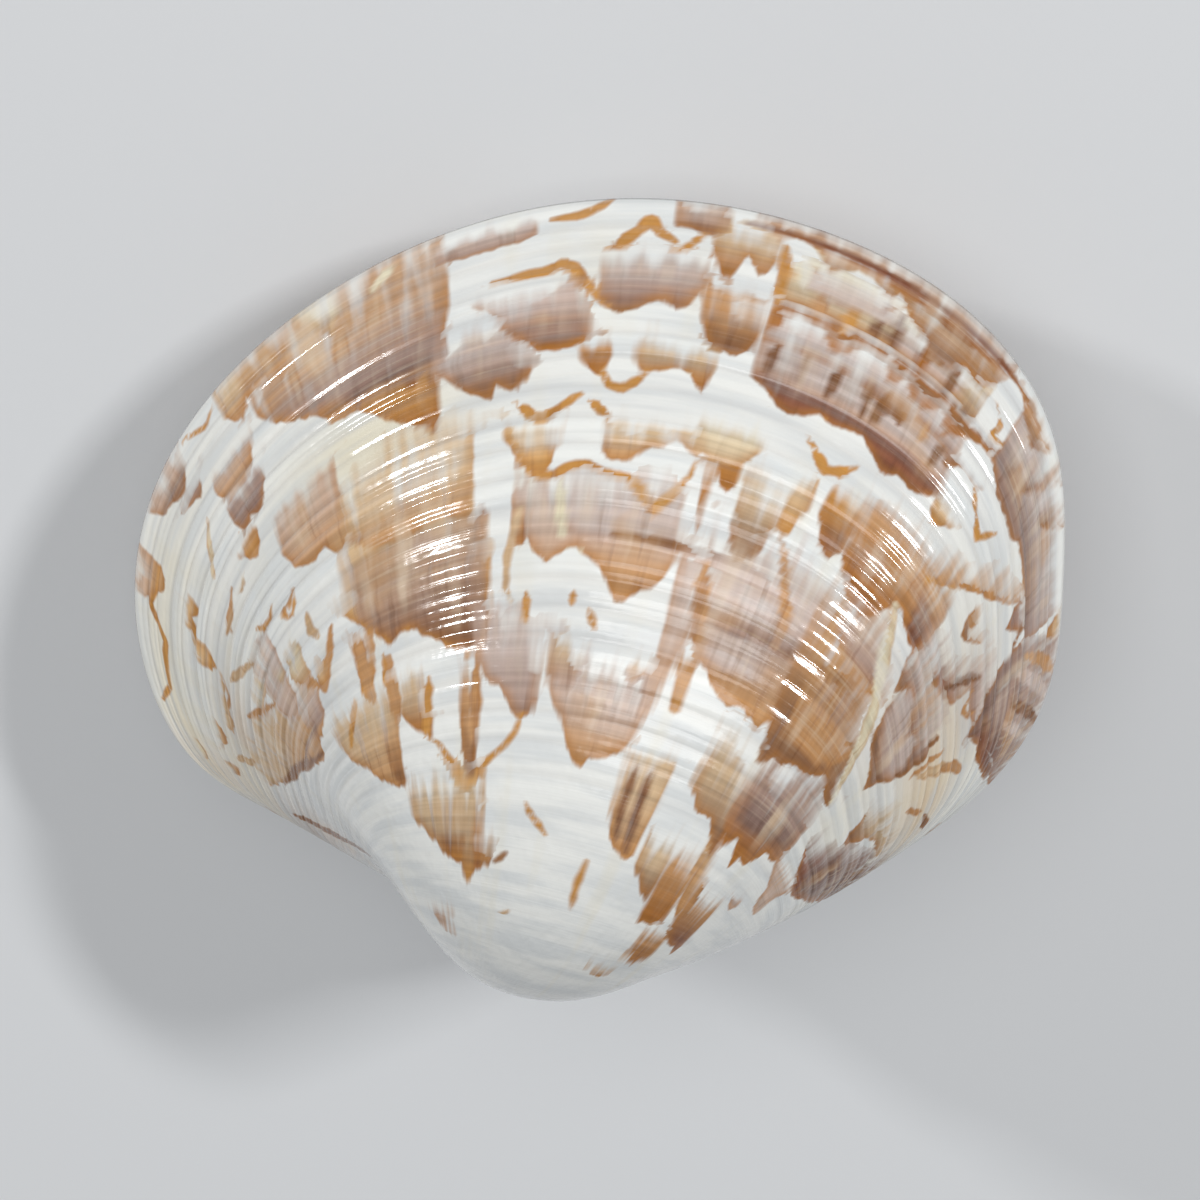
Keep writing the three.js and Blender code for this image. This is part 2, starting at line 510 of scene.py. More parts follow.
def outline_depth(places: np.ndarray, corners: np.ndarray) -> tuple[np.ndarray, np.ndarray]:
    """Measures how deep places lie inside a closed outline, and which way its nearest side faces.

    Args:
        places: The places, two numbers each.
        corners: The outline's corners in turn.

    Returns:
        The distances to the outline, positive inside, and how far its nearest side faces the margin,
        from -1 to 1.
    """
    closed = np.vstack([corners, corners[:1]])
    inside = np.zeros(len(places), bool)
    for a, b in zip(closed[:-1], closed[1:]):
        crosses = (a[1] > places[:, 1]) != (b[1] > places[:, 1])
        rise = b[1] - a[1] if b[1] != a[1] else TINY
        inside ^= crosses & (places[:, 0] < a[0] + (places[:, 1] - a[1]) / rise * (b[0] - a[0]))
    offset, _ = path_offset(places, closed)
    apart = np.linalg.norm(offset, axis=1)
    sign = np.where(inside, 1.0, -1.0)
    return sign * apart, sign * offset[:, 1] / np.maximum(apart, SMALL)


class Canvas:
    """The colour of one valve, kept at each point of its mesh."""

    def __init__(self, u: np.ndarray, size: np.ndarray) -> None:
        """Starts with a bare white ground.

        Args:
            u: The points' places along the margin.
            size: The points' sizes.
        """
        self.u = u
        self.size = size
        self.depth = np.full(u.shape, BARE_DEPTH)
        self.soft = np.zeros(u.shape)
        self.colour = np.ones((u.size, 3))
        self.cover = np.zeros(u.shape)
        self.laid = np.zeros(u.shape)
        self.ground = np.zeros((u.size, 4))

    def near(self, points: np.ndarray, reach: tuple[float, float]) -> np.ndarray:
        """Finds what lies around some points.

        Args:
            points: The points, u and size.
            reach: How far to look beyond them, in u and in size.

        Returns:
            The numbers of the canvas's own points there.
        """
        low, high = points.min(axis=0) - reach, points.max(axis=0) + reach
        beside = (self.u > low[0]) & (self.u < high[0])
        return np.flatnonzero(beside & (self.size > low[1]) & (self.size < high[1]))

    def flat(self, near: np.ndarray, points: np.ndarray) -> tuple[np.ndarray, np.ndarray]:
        """Lays a part of the canvas flat, with a mark's points on it.

        Args:
            near: The numbers of the canvas's own points.
            points: The mark's points, u and size.

        Returns:
            Both in millimetres, along the growth lines and across them.
        """
        bottom, top = points[:, 1].min(), points[:, 1].max()
        scale = np.array([MARGIN_LENGTH * (bottom + top) / 2.0, SIZE_LENGTH])
        return np.stack([self.u[near], self.size[near]], axis=-1) * scale, points * scale

    def lay(
        self, near: np.ndarray, depth: np.ndarray, soft: np.ndarray, colour: np.ndarray, cover: np.ndarray
    ) -> None:
        """Lays one patch over what is there.

        Args:
            near: The numbers of the points that the patch may reach.
            depth: How deep each lies inside it, in millimetres.
            soft: How softly its nearest side ends, from 0 to 1, or below 0 for an even, hard edge.
            colour: Its colour at each.
            cover: How fully it covers each.
        """
        half = HARD_EDGE + (SOFT_EDGE - HARD_EDGE) * np.maximum(soft, 0.0)
        share = ease(depth / half, *LAY_EDGE) * np.maximum(cover, LEAST_COVER)
        bare = self.laid[near] < LEAST_LAID
        total = np.maximum(self.laid[near] * (1.0 - share) + share, SMALL)
        mix = np.where(bare, 1.0, share / total)
        self.colour[near] += (colour - self.colour[near]) * mix[:, None]
        self.cover[near] = np.where(bare, cover, np.maximum(self.cover[near], cover * share))
        self.laid[near] = np.where(bare, share, total)
        deeper = depth > self.depth[near]
        self.soft[near] = np.where(deeper, soft, self.soft[near])
        self.depth[near] = np.maximum(self.depth[near], depth)

    def tint(self, tint: Tint) -> None:
        """Tints the ground.

        Args:
            tint: The tint to add.
        """
        share = tint.share(self.u, self.size)
        total = self.ground[:, 3] * (1.0 - share) + share
        mix = share / np.maximum(total, SMALL)
        self.ground[:, :3] += (np.array(linear(tint.tone.value)) - self.ground[:, :3]) * mix[:, None]
        self.ground[:, 3] = total


T = Tone
MARKS: tuple[Mark | Stroke, ...] = (
    # Rim of the lunule, and the front quarter near the margin.
    Stroke(T.BROWN, 0.6, (182, 660, 190, 620, 198, 560, 212, 490, 232, 430, 262, 380)),
    Stroke(T.OCHRE, 0.4, (
        273, 941, 265, 946, 257, 960, 250, 936, 246, 924, 240, 930, 235, 931, 224, 934, 212, 971)),
    Stroke(T.OCHRE, 0.4, (271, 866, 266, 854, 262, 851, 260, 830, 256, 808)),
    Stroke(T.OCHRE, 0.3, (306, 888, 304, 876, 298, 850, 295, 832)),
    Stroke(T.TAN, 0.28, (299, 797, 294, 786, 288, 786, 285, 770)),
    Stroke(T.TAN, 0.26, (257, 776, 250, 766, 240, 776, 228, 772)),
    Stroke(T.TAN, 0.28, (330, 712, 326, 700, 322, 702, 322, 690)),
    Stroke(T.OCHRE, 0.36, (342, 630, 338, 612, 333, 606, 328, 584)),
    Stroke(T.SAND, 0.45, (206, 790, 212, 765, 214, 742, 222, 720)),
    Stroke(T.SAND, 0.4, (262, 760, 270, 742, 276, 730, 284, 716)),
    Stroke(T.SAND, 0.35, (333, 676, 332, 655, 336, 640)),
    Mark(T.SAND, T.SAND, 0, 0, (264, 684, 272, 672, 284, 674, 292, 682, 284, 690, 272, 692)),
    Mark(T.OCHRE, T.BLUSH, 1000, 0, (256, 972, 262, 950, 267, 931, 271, 930, 274, 942)),
    Mark(T.BROWN, T.BLUSH, 1000, 0, (286, 990, 290, 966, 297, 951, 301, 943, 306, 946, 311, 960)),
    Mark(T.BROWN, T.MAUVE, 940, 0, (296, 931, 301, 923, 306, 918, 309, 912, 313, 926)),
    Stroke(T.OCHRE, 0.23, (313, 992, 319, 979, 323, 972, 327, 981)),
    Mark(T.TAN, T.SAND, 1000, 0, (330, 955, 333, 941, 336, 934, 338, 950, 342, 964, 350, 958, 354, 943)),
    Mark(T.TAN, T.BLUSH, 922, 20, (314, 892, 317, 878, 324, 869, 332, 876, 336, 896)),
    Mark(T.PLUM, T.MAUVE, 878, 18, (315, 850, 319, 826, 324, 830, 328, 822, 333, 830, 337, 854)),
    Mark(T.OCHRE, T.SAND, 882, 12, (263, 862, 266, 846, 269, 860, 275, 846, 276, 858)),
    Mark(T.OCHRE, T.SAND, 858, 30, (253, 826, 257, 806, 260, 799, 264, 812)),
    Stroke(T.CREAM, 0.25, (306, 882, 301, 862, 297, 843, 294, 834)),
    Mark(T.TAN, T.SAND, 835, 22, (208, 822, 214, 806, 219, 800, 226, 818)),
    Mark(T.SAND, T.SAND, 795, 14, (228, 777, 233, 764, 240, 768, 246, 774, 254, 772, 259, 782)),
    Mark(T.SAND, T.SAND, 786, 6, (281, 778, 286, 772, 294, 778)),
    Mark(T.SAND, T.CREAM, 790, 8, (301, 780, 304, 773, 308, 781)),
    Mark(T.OCHRE, T.TAN, 822, 12, (310, 806, 314, 796, 320, 784, 326, 812)),
    Mark(T.TAN, T.SAND, 846, 24, (184, 836, 190, 806, 197, 800, 196, 826)),
    Mark(T.SAND, T.CREAM, 930, 24, (184, 918, 188, 902, 194, 898, 198, 914)),
    # Front quarter, middle.
    Mark(T.TAN, T.SAND, 0, 0, (
        205, 700, 215, 668, 225, 640, 235, 620, 245, 602, 255, 590, 262, 575, 270, 560, 280, 545, 290, 530,
        301, 524, 312, 546, 320, 560, 323, 594, 316, 611, 309, 630, 298, 602, 287, 620, 284, 646, 271, 668,
        262, 690, 255, 706, 236, 722, 220, 730)),
    Mark(T.BLUSH, T.LILAC, 720, 30, (284, 640, 286, 612, 292, 600, 300, 596, 306, 606)),
    Mark(T.MAUVE, T.LILAC, 616, 24, (302, 572, 306, 560, 316, 556, 321, 562, 322, 590)),
    Stroke(T.BROWN, 0.5, (222, 646, 235, 621, 246, 601, 256, 588, 266, 571, 278, 552, 290, 538, 302, 532)),
    Stroke(T.BROWN, 0.3, (272, 561, 290, 563, 306, 560, 320, 560)),
    Stroke(T.TAN, 0.4, (252, 716, 263, 688, 271, 668, 282, 650)),
    Stroke(T.TAN, 0.36, (306, 640, 313, 622, 322, 603, 329, 586, 335, 604, 341, 622, 345, 640)),
    Mark(T.TAN, T.CREAM, 660, 20, (308, 626, 312, 610, 318, 604, 322, 610)),
    Mark(T.OCHRE, T.SAND, 612, 10, (324, 600, 329, 586, 335, 602)),
    Stroke(T.OCHRE, 0.16, (318, 701, 325, 687, 330, 699, 330, 712)),
    Stroke(T.OCHRE, 0.17, (301, 728, 305, 716, 312, 714, 316, 722)),
    Mark(T.SAND, T.CREAM, 666, 12, (297, 654, 300, 643, 304, 652)),
    Mark(T.CREAM, T.CREAM, 692, 8, (269, 682, 275, 675, 283, 682)),
    Mark(T.TAN, T.SAND, 556, 26, (
        322, 530, 326, 500, 331, 489, 338, 476, 345, 461, 352, 451, 360, 440, 367, 434, 371, 440, 372,
        500)),
    Stroke(T.OCHRE, 0.25, (334, 506, 341, 530, 348, 550)),
    Mark(T.BROWN, T.TAN, 520, 40, (361, 470, 364, 446, 368, 435, 371, 442, 371, 490)),
    Mark(T.OCHRE, T.TAN, 615, 0, (351, 590, 353, 552, 357, 539, 361, 550, 364, 580)),
    Mark(T.TAN, T.BLUSH, 812, 14, (
        332, 754, 336, 731, 341, 724, 346, 719, 351, 722, 355, 711, 359, 704, 362, 720, 362, 770)),
    # Big patch at the front of the flank.
    Mark(T.OCHRE, T.SAND, 0, 0, (
        350, 646, 354, 634, 358, 622, 363, 611, 368, 600, 372, 586, 376, 580, 379, 591, 382, 596, 386, 590,
        390, 580, 396, 574, 402, 565, 408, 560, 413, 556, 418, 550, 421, 580, 421, 640, 414, 680, 413, 720,
        413, 765, 404, 790, 384, 790, 372, 758, 364, 730, 358, 700, 355, 662)),
    Mark(T.BROWN, T.MAUVE, 690, 10, (
        360, 626, 365, 612, 370, 600, 376, 584, 379, 594, 383, 598, 387, 590, 391, 582, 397, 576, 403, 567,
        409, 561, 416, 556, 419, 590, 418, 640)),
    Mark(T.TAN, T.SAND, 770, 20, (362, 712, 372, 690, 386, 684, 400, 690, 411, 684, 412, 720)),
    Mark(T.MAUVE, T.LILAC, 604, 10, (
        413, 596, 414, 570, 417, 545, 420, 531, 425, 522, 430, 516, 435, 502, 440, 490, 445, 494, 447, 511,
        447, 536, 443, 562, 436, 590)),
    Mark(T.AMBER, T.SAND, 560, 20, (
        366, 538, 368, 522, 372, 511, 377, 501, 382, 491, 387, 480, 392, 478, 394, 500, 391, 530)),
    Stroke(T.OCHRE, 0.23, (387, 482, 395, 475, 401, 459, 407, 441, 412, 428, 417, 440, 425, 455, 433, 468,
                          438, 480, 441, 497)),
    Mark(T.BROWN, T.TAN, 556, 30, (409, 500, 411, 462, 413, 436, 417, 440, 419, 470, 418, 520)),
    Stroke(T.OCHRE, 0.2, (369, 580, 369, 552, 371, 530)),
    # Patch at the beak's side.
    Mark(T.BROWN, T.SAND, 455, 40, (
        374, 440, 373, 401, 378, 390, 384, 380, 390, 370, 395, 360, 400, 352, 405, 348, 409, 350, 411, 334,
        414, 322, 418, 335, 422, 343, 427, 350, 431, 360, 427, 380, 424, 420)),
    Mark(T.AMBER, T.BROWN, 384, 8, (393, 372, 398, 358, 404, 350, 409, 351, 411, 372)),
    Mark(T.RUST, T.TAN, 414, 26, (418, 370, 420, 346, 423, 345, 425, 370)),
    Stroke(T.BROWN, 0.16, (433, 354, 438, 360, 442, 367)),
    Mark(T.OCHRE, T.OCHRE, 352, 0, (411, 340, 413, 324, 416, 326, 418, 340)),
    # Middle of the flank.
    Mark(T.TAN, T.LILAC, 0, 0, (
        428, 690, 428, 662, 431, 650, 434, 654, 438, 641, 443, 632, 448, 641, 453, 648, 457, 640, 460, 635,
        465, 622, 468, 612, 471, 599, 475, 603, 479, 612, 483, 622, 487, 630, 490, 645, 490, 665, 488, 692,
        486, 722, 482, 702, 478, 686, 472, 700, 466, 713, 458, 715, 453, 721, 447, 715, 440, 708, 434, 713,
        429, 726)),
    Mark(T.LILAC, T.LILAC, 712, 8, (444, 690, 445, 668, 452, 656, 462, 652, 474, 654, 488, 660, 488, 690)),
    Mark(T.TAN, T.TAN, 645, 10, (458, 640, 465, 622, 471, 600, 479, 612, 487, 632)),
    Stroke(T.CREAM, 0.28, (444, 706, 445, 680, 447, 655)),
    Stroke(T.OCHRE, 0.3, (424, 754, 429, 730, 434, 714, 440, 709, 446, 718, 452, 721, 458, 714, 466, 711,
                           472, 700, 477, 686, 482, 701, 486, 721, 488, 748)),
    Mark(T.OCHRE, T.SAND, 772, 34, (423, 750, 427, 734, 432, 720, 437, 713, 441, 722, 443, 738)),
    Mark(T.TAN, T.SAND, 768, 10, (
        455, 735, 458, 724, 466, 722, 472, 741, 475, 738, 480, 750, 487, 735, 489, 745)),
    Mark(T.AMBER, T.TAN, 694, 20, (428, 676, 430, 652, 433, 649, 434, 676)),
    Stroke(T.SAND, 0.23, (430, 682, 427, 642, 427, 610, 430, 597)),
    Stroke(T.OCHRE, 0.2, (436, 606, 437, 579)),
    Stroke(T.OCHRE, 0.17, (455, 606, 455, 595)),
    Stroke(T.OCHRE, 0.23, (462, 592, 466, 576)),
    Stroke(T.BROWN, 0.28, (466, 659, 480, 659, 500, 658, 516, 655, 530, 648)),
    Stroke(T.TAN, 0.4, (416, 536, 416, 500, 415, 474)),
    Stroke(T.OCHRE, 0.36, (392, 540, 390, 509, 388, 482)),
    Stroke(T.TAN, 0.4, (372, 574, 372, 539, 372, 506)),
    Stroke(T.TAN, 0.5, (356, 614, 357, 579, 359, 539)),
    Mark(T.TAN, T.LILAC, 667, 8, (
        490, 660, 491, 600, 492, 552, 495, 490, 498, 520, 500, 560, 503, 600, 506, 640)),
    Mark(T.AMBER, T.TAN, 768, 20, (488, 742, 490, 700, 493, 664, 495, 668, 494, 720)),
    Mark(T.TAN, T.LILAC, 700, 30, (
        497, 664, 499, 620, 502, 590, 506, 580, 511, 570, 515, 560, 520, 553, 525, 547, 530, 546, 534, 550,
        539, 545, 546, 540, 552, 560, 552, 640)),
    Mark(T.MAUVE, T.LILAC, 668, 16, (506, 640, 508, 612, 516, 606, 530, 606, 546, 606, 548, 650)),
    Mark(T.LILAC, T.LILAC, 0, 0, (505, 638, 506, 614, 518, 612, 532, 616, 530, 642, 516, 644)),
    Mark(T.LILAC, T.LILAC, 0, 0, (508, 598, 511, 578, 520, 572, 532, 574, 530, 598, 518, 602)),
    Stroke(T.BROWN, 0.28, (502, 606, 520, 606, 538, 609, 560, 616, 578, 628)),
    Stroke(T.TAN, 0.4, (500, 650, 502, 621, 506, 589)),
    Stroke(T.TAN, 0.34, (530, 657, 534, 641, 536, 612)),
    Mark(T.OCHRE, T.TAN, 580, 14, (502, 566, 504, 546, 506, 523, 509, 526, 508, 550)),
    Mark(T.AMBER, T.OCHRE, 775, 20, (493, 745, 495, 722, 498, 716, 500, 724, 500, 750)),
    Mark(T.BROWN, T.SAND, 755, 34, (503, 692, 506, 671, 509, 662, 513, 667, 516, 680, 518, 702)),
    Mark(T.OCHRE, T.SAND, 760, 24, (518, 712, 520, 699, 523, 702, 524, 722)),
    Mark(T.RUST, T.OCHRE, 775, 26, (531, 732, 534, 712, 537, 703, 540, 702, 543, 712)),
    Stroke(T.TAN, 0.17, (520, 702, 527, 672, 532, 645, 534, 620)),
    Mark(T.AMBER, T.SAND, 572, 26, (448, 534, 451, 521, 454, 534, 457, 519, 461, 524, 463, 545)),
    Mark(T.OCHRE, T.SAND, 562, 16, (482, 552, 486, 538, 490, 550)),
    Mark(T.TAN, T.LILAC, 560, 30, (
        449, 524, 456, 501, 460, 486, 465, 471, 470, 463, 474, 456, 478, 465, 484, 470, 490, 478, 494, 490,
        497, 520)),
    Mark(T.TAN, T.SAND, 490, 12, (494, 432, 496, 411, 500, 401, 506, 396, 512, 388, 517, 393, 519, 440)),
    Stroke(T.BROWN, 0.17, (500, 470, 500, 430, 503, 402)),
    Stroke(T.BROWN, 0.2, (507, 470, 508, 430, 511, 394)),
    Stroke(T.OCHRE, 0.2, (449, 417, 452, 409, 458, 400, 464, 391)),
    Stroke(T.OCHRE, 0.17, (492, 376, 491, 350, 493, 324)),
    Stroke(T.SAND, 0.17, (441, 296, 446, 300, 450, 306)),
    # Beak's side, hind half.
    Mark(T.BROWN, T.SAND, 424, 24, (518, 400, 519, 386, 523, 377, 528, 369, 533, 361, 538, 351, 540, 380)),
    Mark(T.AMBER, T.TAN, 426, 40, (539, 345, 541, 330, 547, 334, 553, 337, 559, 341, 560, 380)),
    Mark(T.TAN, T.SAND, 510, 40, (553, 470, 554, 430, 557, 380, 562, 360, 570, 350, 566, 400, 562, 450)),
    Mark(T.RUST, T.TAN, 398, 30, (
        567, 360, 570, 340, 575, 328, 582, 320, 590, 318, 598, 310, 603, 322, 600, 350)),
    Mark(T.AMBER, T.TAN, 338, 20, (553, 300, 555, 284, 559, 277, 566, 275, 572, 284, 573, 306)),
    Mark(T.OCHRE, T.SAND, 276, 6, (524, 268, 530, 257, 538, 251, 546, 252, 554, 262)),
    Mark(T.BLUSH, T.BLUSH, 290, 12, (374, 280, 380, 262, 388, 250, 396, 250, 392, 272)),
    Mark(T.BROWN, T.SAND, 540, 40, (
        529, 500, 529, 471, 533, 461, 538, 450, 542, 453, 547, 450, 552, 440, 556, 431, 560, 421, 564, 440,
        562, 490)),
    Mark(T.AMBER, T.MAUVE, 0, 0, (
        553, 500, 556, 459, 560, 444, 563, 424, 567, 438, 571, 448, 576, 430, 579, 421, 581, 440, 585, 434,
        590, 436, 594, 446, 599, 456, 605, 458, 611, 455, 617, 461, 621, 482, 620, 512, 612, 534, 606, 541,
        600, 552, 594, 541, 585, 535, 575, 530, 565, 526, 558, 520)),
    Mark(T.PLUM, T.MAUVE, 540, 0, (
        560, 490, 562, 462, 570, 456, 580, 458, 590, 462, 604, 468, 614, 474, 616, 500, 612, 530, 570,
        526)),
    Mark(T.BLUSH, T.BLUSH, 480, 20, (
        610, 472, 617, 456, 625, 446, 634, 440, 640, 420, 650, 410, 657, 411, 656, 432, 661, 450, 668,
        462)),
    Mark(T.BLUSH, T.LILAC, 410, 8, (600, 402, 606, 393, 614, 388, 621, 396)),
    Mark(T.RUST, T.MAUVE, 0, 0, (
        634, 502, 641, 490, 650, 480, 660, 475, 667, 467, 675, 465, 684, 470, 692, 480, 702, 490, 714, 506,
        730, 530, 750, 570, 770, 620, 775, 680, 760, 720, 745, 700, 735, 660, 722, 640, 709, 622, 700, 600,
        690, 580, 680, 571, 672, 556, 668, 538, 656, 514, 646, 508)),
    # This patch stays dark plum up to its top: its own colour, deepened as painted shade where the hind edge
    # turns away from the light.
    Mark(T.PLUM, T.PLUM, 0, 0, (
        664, 490, 676, 474, 692, 486, 706, 500, 722, 526, 744, 572, 760, 620, 762, 660, 740, 640, 722, 616,
        706, 590, 690, 560, 676, 540)),
    # Hind half of the flank.
    Mark(T.BROWN, T.TAN, 0, 0, (
        544, 705, 545, 660, 546, 620, 547, 580, 550, 555, 552, 530, 555, 514, 558, 521, 562, 530, 569, 527,
        576, 533, 585, 538, 592, 542, 597, 549, 600, 553, 606, 543, 614, 538, 624, 540, 622, 555, 614, 570,
        610, 590, 606, 611, 600, 601, 596, 611, 592, 635, 601, 640, 597, 655, 592, 670, 587, 683, 580, 690,
        571, 695)),
    Mark(T.MAUVE, T.BLUSH, 0, 0, (
        556, 690, 556, 660, 562, 646, 574, 642, 588, 645, 594, 650, 590, 668, 584, 682, 576, 688, 568,
        694)),
    Mark(T.TAN, T.TAN, 606, 12, (556, 590, 560, 560, 572, 552, 586, 552, 600, 566, 606, 586)),
    Mark(T.AMBER, T.TAN, 790, 26, (
        543, 716, 546, 702, 551, 690, 557, 682, 563, 680, 568, 686, 571, 700, 575, 709, 579, 718, 583, 711,
        587, 704, 594, 700, 599, 704, 603, 724, 603, 750)),
    Mark(T.RUST, T.BROWN, 752, 14, (585, 722, 588, 706, 594, 701, 599, 706, 600, 730)),
    Mark(T.BROWN, T.LILAC, 0, 0, (
        612, 680, 608, 660, 608, 640, 611, 625, 617, 615, 624, 610, 632, 607, 639, 598, 643, 605, 648, 620,
        653, 635, 658, 650, 661, 672, 660, 702, 655, 716, 650, 740, 640, 750, 620, 750, 604, 742, 600, 720,
        603, 700)),
    Stroke(T.BROWN, 0.6, (659, 724, 660, 690, 656, 658, 650, 640)),
    Mark(T.MAUVE, T.LILAC, 688, 12, (612, 664, 611, 640, 618, 628, 630, 620, 643, 622, 652, 640, 656, 660)),
    Mark(T.BROWN, T.MAUVE, 712, 14, (
        597, 692, 601, 681, 605, 667, 609, 676, 613, 688, 622, 688, 632, 682, 637, 671, 641, 684, 648, 690,
        653, 668, 659, 672, 660, 690)),
    Mark(T.RUST, T.BLUSH, 0, 0, (
        618, 728, 624, 719, 631, 728, 640, 738, 648, 750, 651, 772, 651, 800, 648, 808, 641, 792, 633, 770,
        627, 750)),
    Mark(T.BROWN, T.SAND, 0, 0, (
        659, 600, 661, 583, 663, 566, 666, 554, 671, 560, 676, 575, 681, 590, 687, 600, 692, 610, 702, 620,
        716, 626, 722, 640, 710, 654, 696, 648, 684, 630, 672, 608)),
    Stroke(T.TAN, 0.3, (672, 740, 669, 712, 667, 672)),
    Stroke(T.SAND, 0.6, (690, 770, 682, 735, 672, 690)),
    Stroke(T.CREAM, 0.6, (576, 712, 584, 678, 594, 648, 606, 612, 614, 575, 620, 548)),
    Stroke(T.OCHRE, 0.3, (582, 756, 597, 787, 612, 824)),
    Stroke(T.BROWN, 0.45, (734, 764, 722, 742, 711, 724)),
    Stroke(T.TAN, 0.35, (706, 712, 698, 690, 692, 672)),
    Stroke(T.TAN, 0.5, (700, 790, 688, 762, 684, 738)),
    Mark(T.MAUVE, T.LILAC, 0, 0, (652, 826, 648, 800, 654, 790, 664, 790, 676, 800, 670, 820, 660, 840)),
    Stroke(T.BROWN, 0.4, (652, 810, 644, 780, 636, 744)),
    # Band of growth with a rust foot, and the lattice above it.
    Mark(T.RUST, T.LILAC, 905, 24, (
        495, 826, 500, 815, 505, 806, 510, 802, 514, 808, 518, 815, 523, 810, 530, 815, 535, 810, 540, 804,
        545, 796, 549, 805, 558, 803, 563, 810, 567, 820, 566, 850)),
    Mark(T.RUST, T.RUST, 829, 3, (
        496, 826, 500, 815, 505, 806, 510, 802, 514, 808, 518, 815, 523, 810, 530, 815, 535, 810, 540, 804,
        545, 796, 549, 805, 558, 803, 563, 810, 567, 820)),
    Mark(T.LILAC, T.LILAC, 866, 3, (496, 834, 505, 832, 520, 831, 540, 831, 564, 834)),
    Stroke(T.BROWN, 0.3, (519, 864, 518, 834)),
    Stroke(T.BROWN, 0.4, (535, 864, 534, 834)),
    Stroke(T.BROWN, 0.3, (559, 862, 558, 836)),
    Stroke(T.BROWN, 0.3, (500, 862, 499, 834)),
    Stroke(T.BROWN, 0.23, (529, 866, 530, 832)),
    Stroke(T.BROWN, 0.2, (509, 864, 508, 834)),
    Stroke(T.BROWN, 0.2, (541, 866, 542, 846)),
    Stroke(T.TAN, 0.23, (551, 866, 551, 850)),
    Mark(T.BROWN, T.BROWN, 869, 3, (
        496, 864, 520, 863, 542, 850, 546, 863, 560, 862, 564, 846, 569, 860, 580, 862)),
    Stroke(T.OCHRE, 0.28, (578, 862, 586, 846, 592, 834, 597, 852, 600, 864)),
    Mark(T.OCHRE, T.SAND, 826, 3, (567, 806, 570, 796, 575, 804, 580, 811, 583, 822)),
    Mark(T.SAND, T.CREAM, 0, 0, (
        496, 908, 520, 908, 545, 906, 562, 908, 562, 940, 545, 948, 520, 952, 498, 950)),
    Mark(T.AMBER, T.AMBER, 916, 6, (
        495, 900, 497, 877, 500, 892, 506, 899, 510, 898, 513, 885, 516, 876, 520, 888, 524, 895, 530, 896,
        534, 878, 538, 892, 542, 880, 546, 872, 549, 882, 553, 892, 558, 872, 562, 884, 570, 892, 579,
        898)),
    Mark(T.BROWN, T.AMBER, 0, 0, (
        497, 898, 510, 896, 530, 894, 545, 891, 560, 891, 580, 896, 580, 908, 560, 907, 530, 910, 497,
        912)),
    Stroke(T.OCHRE, 0.4, (496, 905, 496, 940, 495, 968)),
    Stroke(T.TAN, 0.4, (508, 905, 507, 930)),
    Stroke(T.OCHRE, 0.45, (516, 905, 517, 932)),
    Stroke(T.BROWN, 0.35, (524, 905, 525, 950)),
    Stroke(T.BROWN, 0.4, (530, 905, 530, 948)),
    Mark(T.LILAC, T.LILAC, 958, 8, (503, 930, 512, 926, 524, 930, 528, 936)),
    Mark(T.LILAC, T.LILAC, 946, 12, (532, 914, 541, 912, 552, 914, 556, 916)),
    Mark(T.BROWN, T.SAND, 956, 16, (556, 900, 560, 888, 563, 900, 566, 912)),
    Stroke(T.AMBER, 0.35, (540, 905, 541, 940)),
    Stroke(T.BROWN, 0.4, (551, 905, 552, 942)),
    Mark(T.PLUM, T.LILAC, 985, 20, (
        579, 902, 584, 890, 589, 884, 597, 882, 604, 884, 610, 888, 615, 898, 632, 899, 640, 902, 652, 900,
        660, 906, 662, 950)),
    Mark(T.PLUM, T.MAUVE, 906, 3, (580, 900, 584, 890, 589, 884, 597, 882, 604, 884, 610, 888, 615, 898)),
    Mark(T.TAN, T.TAN, 0, 0, (
        634, 903, 629, 878, 621, 851, 611, 828, 599, 800, 590, 786, 585, 768, 589, 766, 596, 782, 605, 800,
        615, 822, 626, 848, 636, 876, 641, 900)),
    Mark(T.RUST, T.MAUVE, 905, 4, (637, 892, 640, 872, 643, 864, 648, 880, 652, 896)),
    Stroke(T.BROWN, 0.25, (650, 900, 655, 886, 659, 874)),
    Mark(T.PLUM, T.MAUVE, 0, 0, (
        655, 904, 658, 880, 656, 860, 662, 840, 665, 824, 670, 819, 675, 800, 680, 783, 684, 800, 691, 820,
        701, 830, 708, 845, 714, 862, 720, 884, 730, 920, 742, 960, 750, 1000, 672, 1000, 670, 960, 664,
        930)),
    Mark(T.RUST, T.PLUM, 0, 0, (
        684, 812, 692, 818, 702, 827, 710, 842, 717, 862, 726, 890, 734, 920, 722, 916, 706, 886, 692,
        850)),
    Stroke(T.LILAC, 0.6, (700, 990, 684, 940, 672, 896)),
    Stroke(T.BROWN, 0.5, (712, 990, 698, 936, 686, 890)),
    Stroke(T.TAN, 0.5, (690, 996, 676, 950, 668, 915)),
    Stroke(T.LILAC, 0.5, (716, 960, 704, 916, 694, 880)),
    Mark(T.BROWN, T.TAN, 808, 8, (616, 786, 620, 776, 625, 781, 631, 798, 636, 815, 630, 812, 624, 796)),
    Stroke(T.TAN, 0.25, (655, 796, 660, 776, 666, 786, 668, 800)),
    Mark(T.PLUM, T.MAUVE, 792, 6, (677, 782, 680, 773, 684, 782)),
    # Margin, hind half.
    Mark(T.BROWN, T.TAN, 1000, 0, (
        486, 1000, 489, 985, 494, 970, 498, 985, 503, 978, 507, 955, 510, 966, 514, 972, 519, 970, 524, 955,
        527, 970, 531, 952, 536, 944, 541, 930, 545, 925, 549, 930, 553, 945, 561, 943, 565, 956, 569,
        980)),
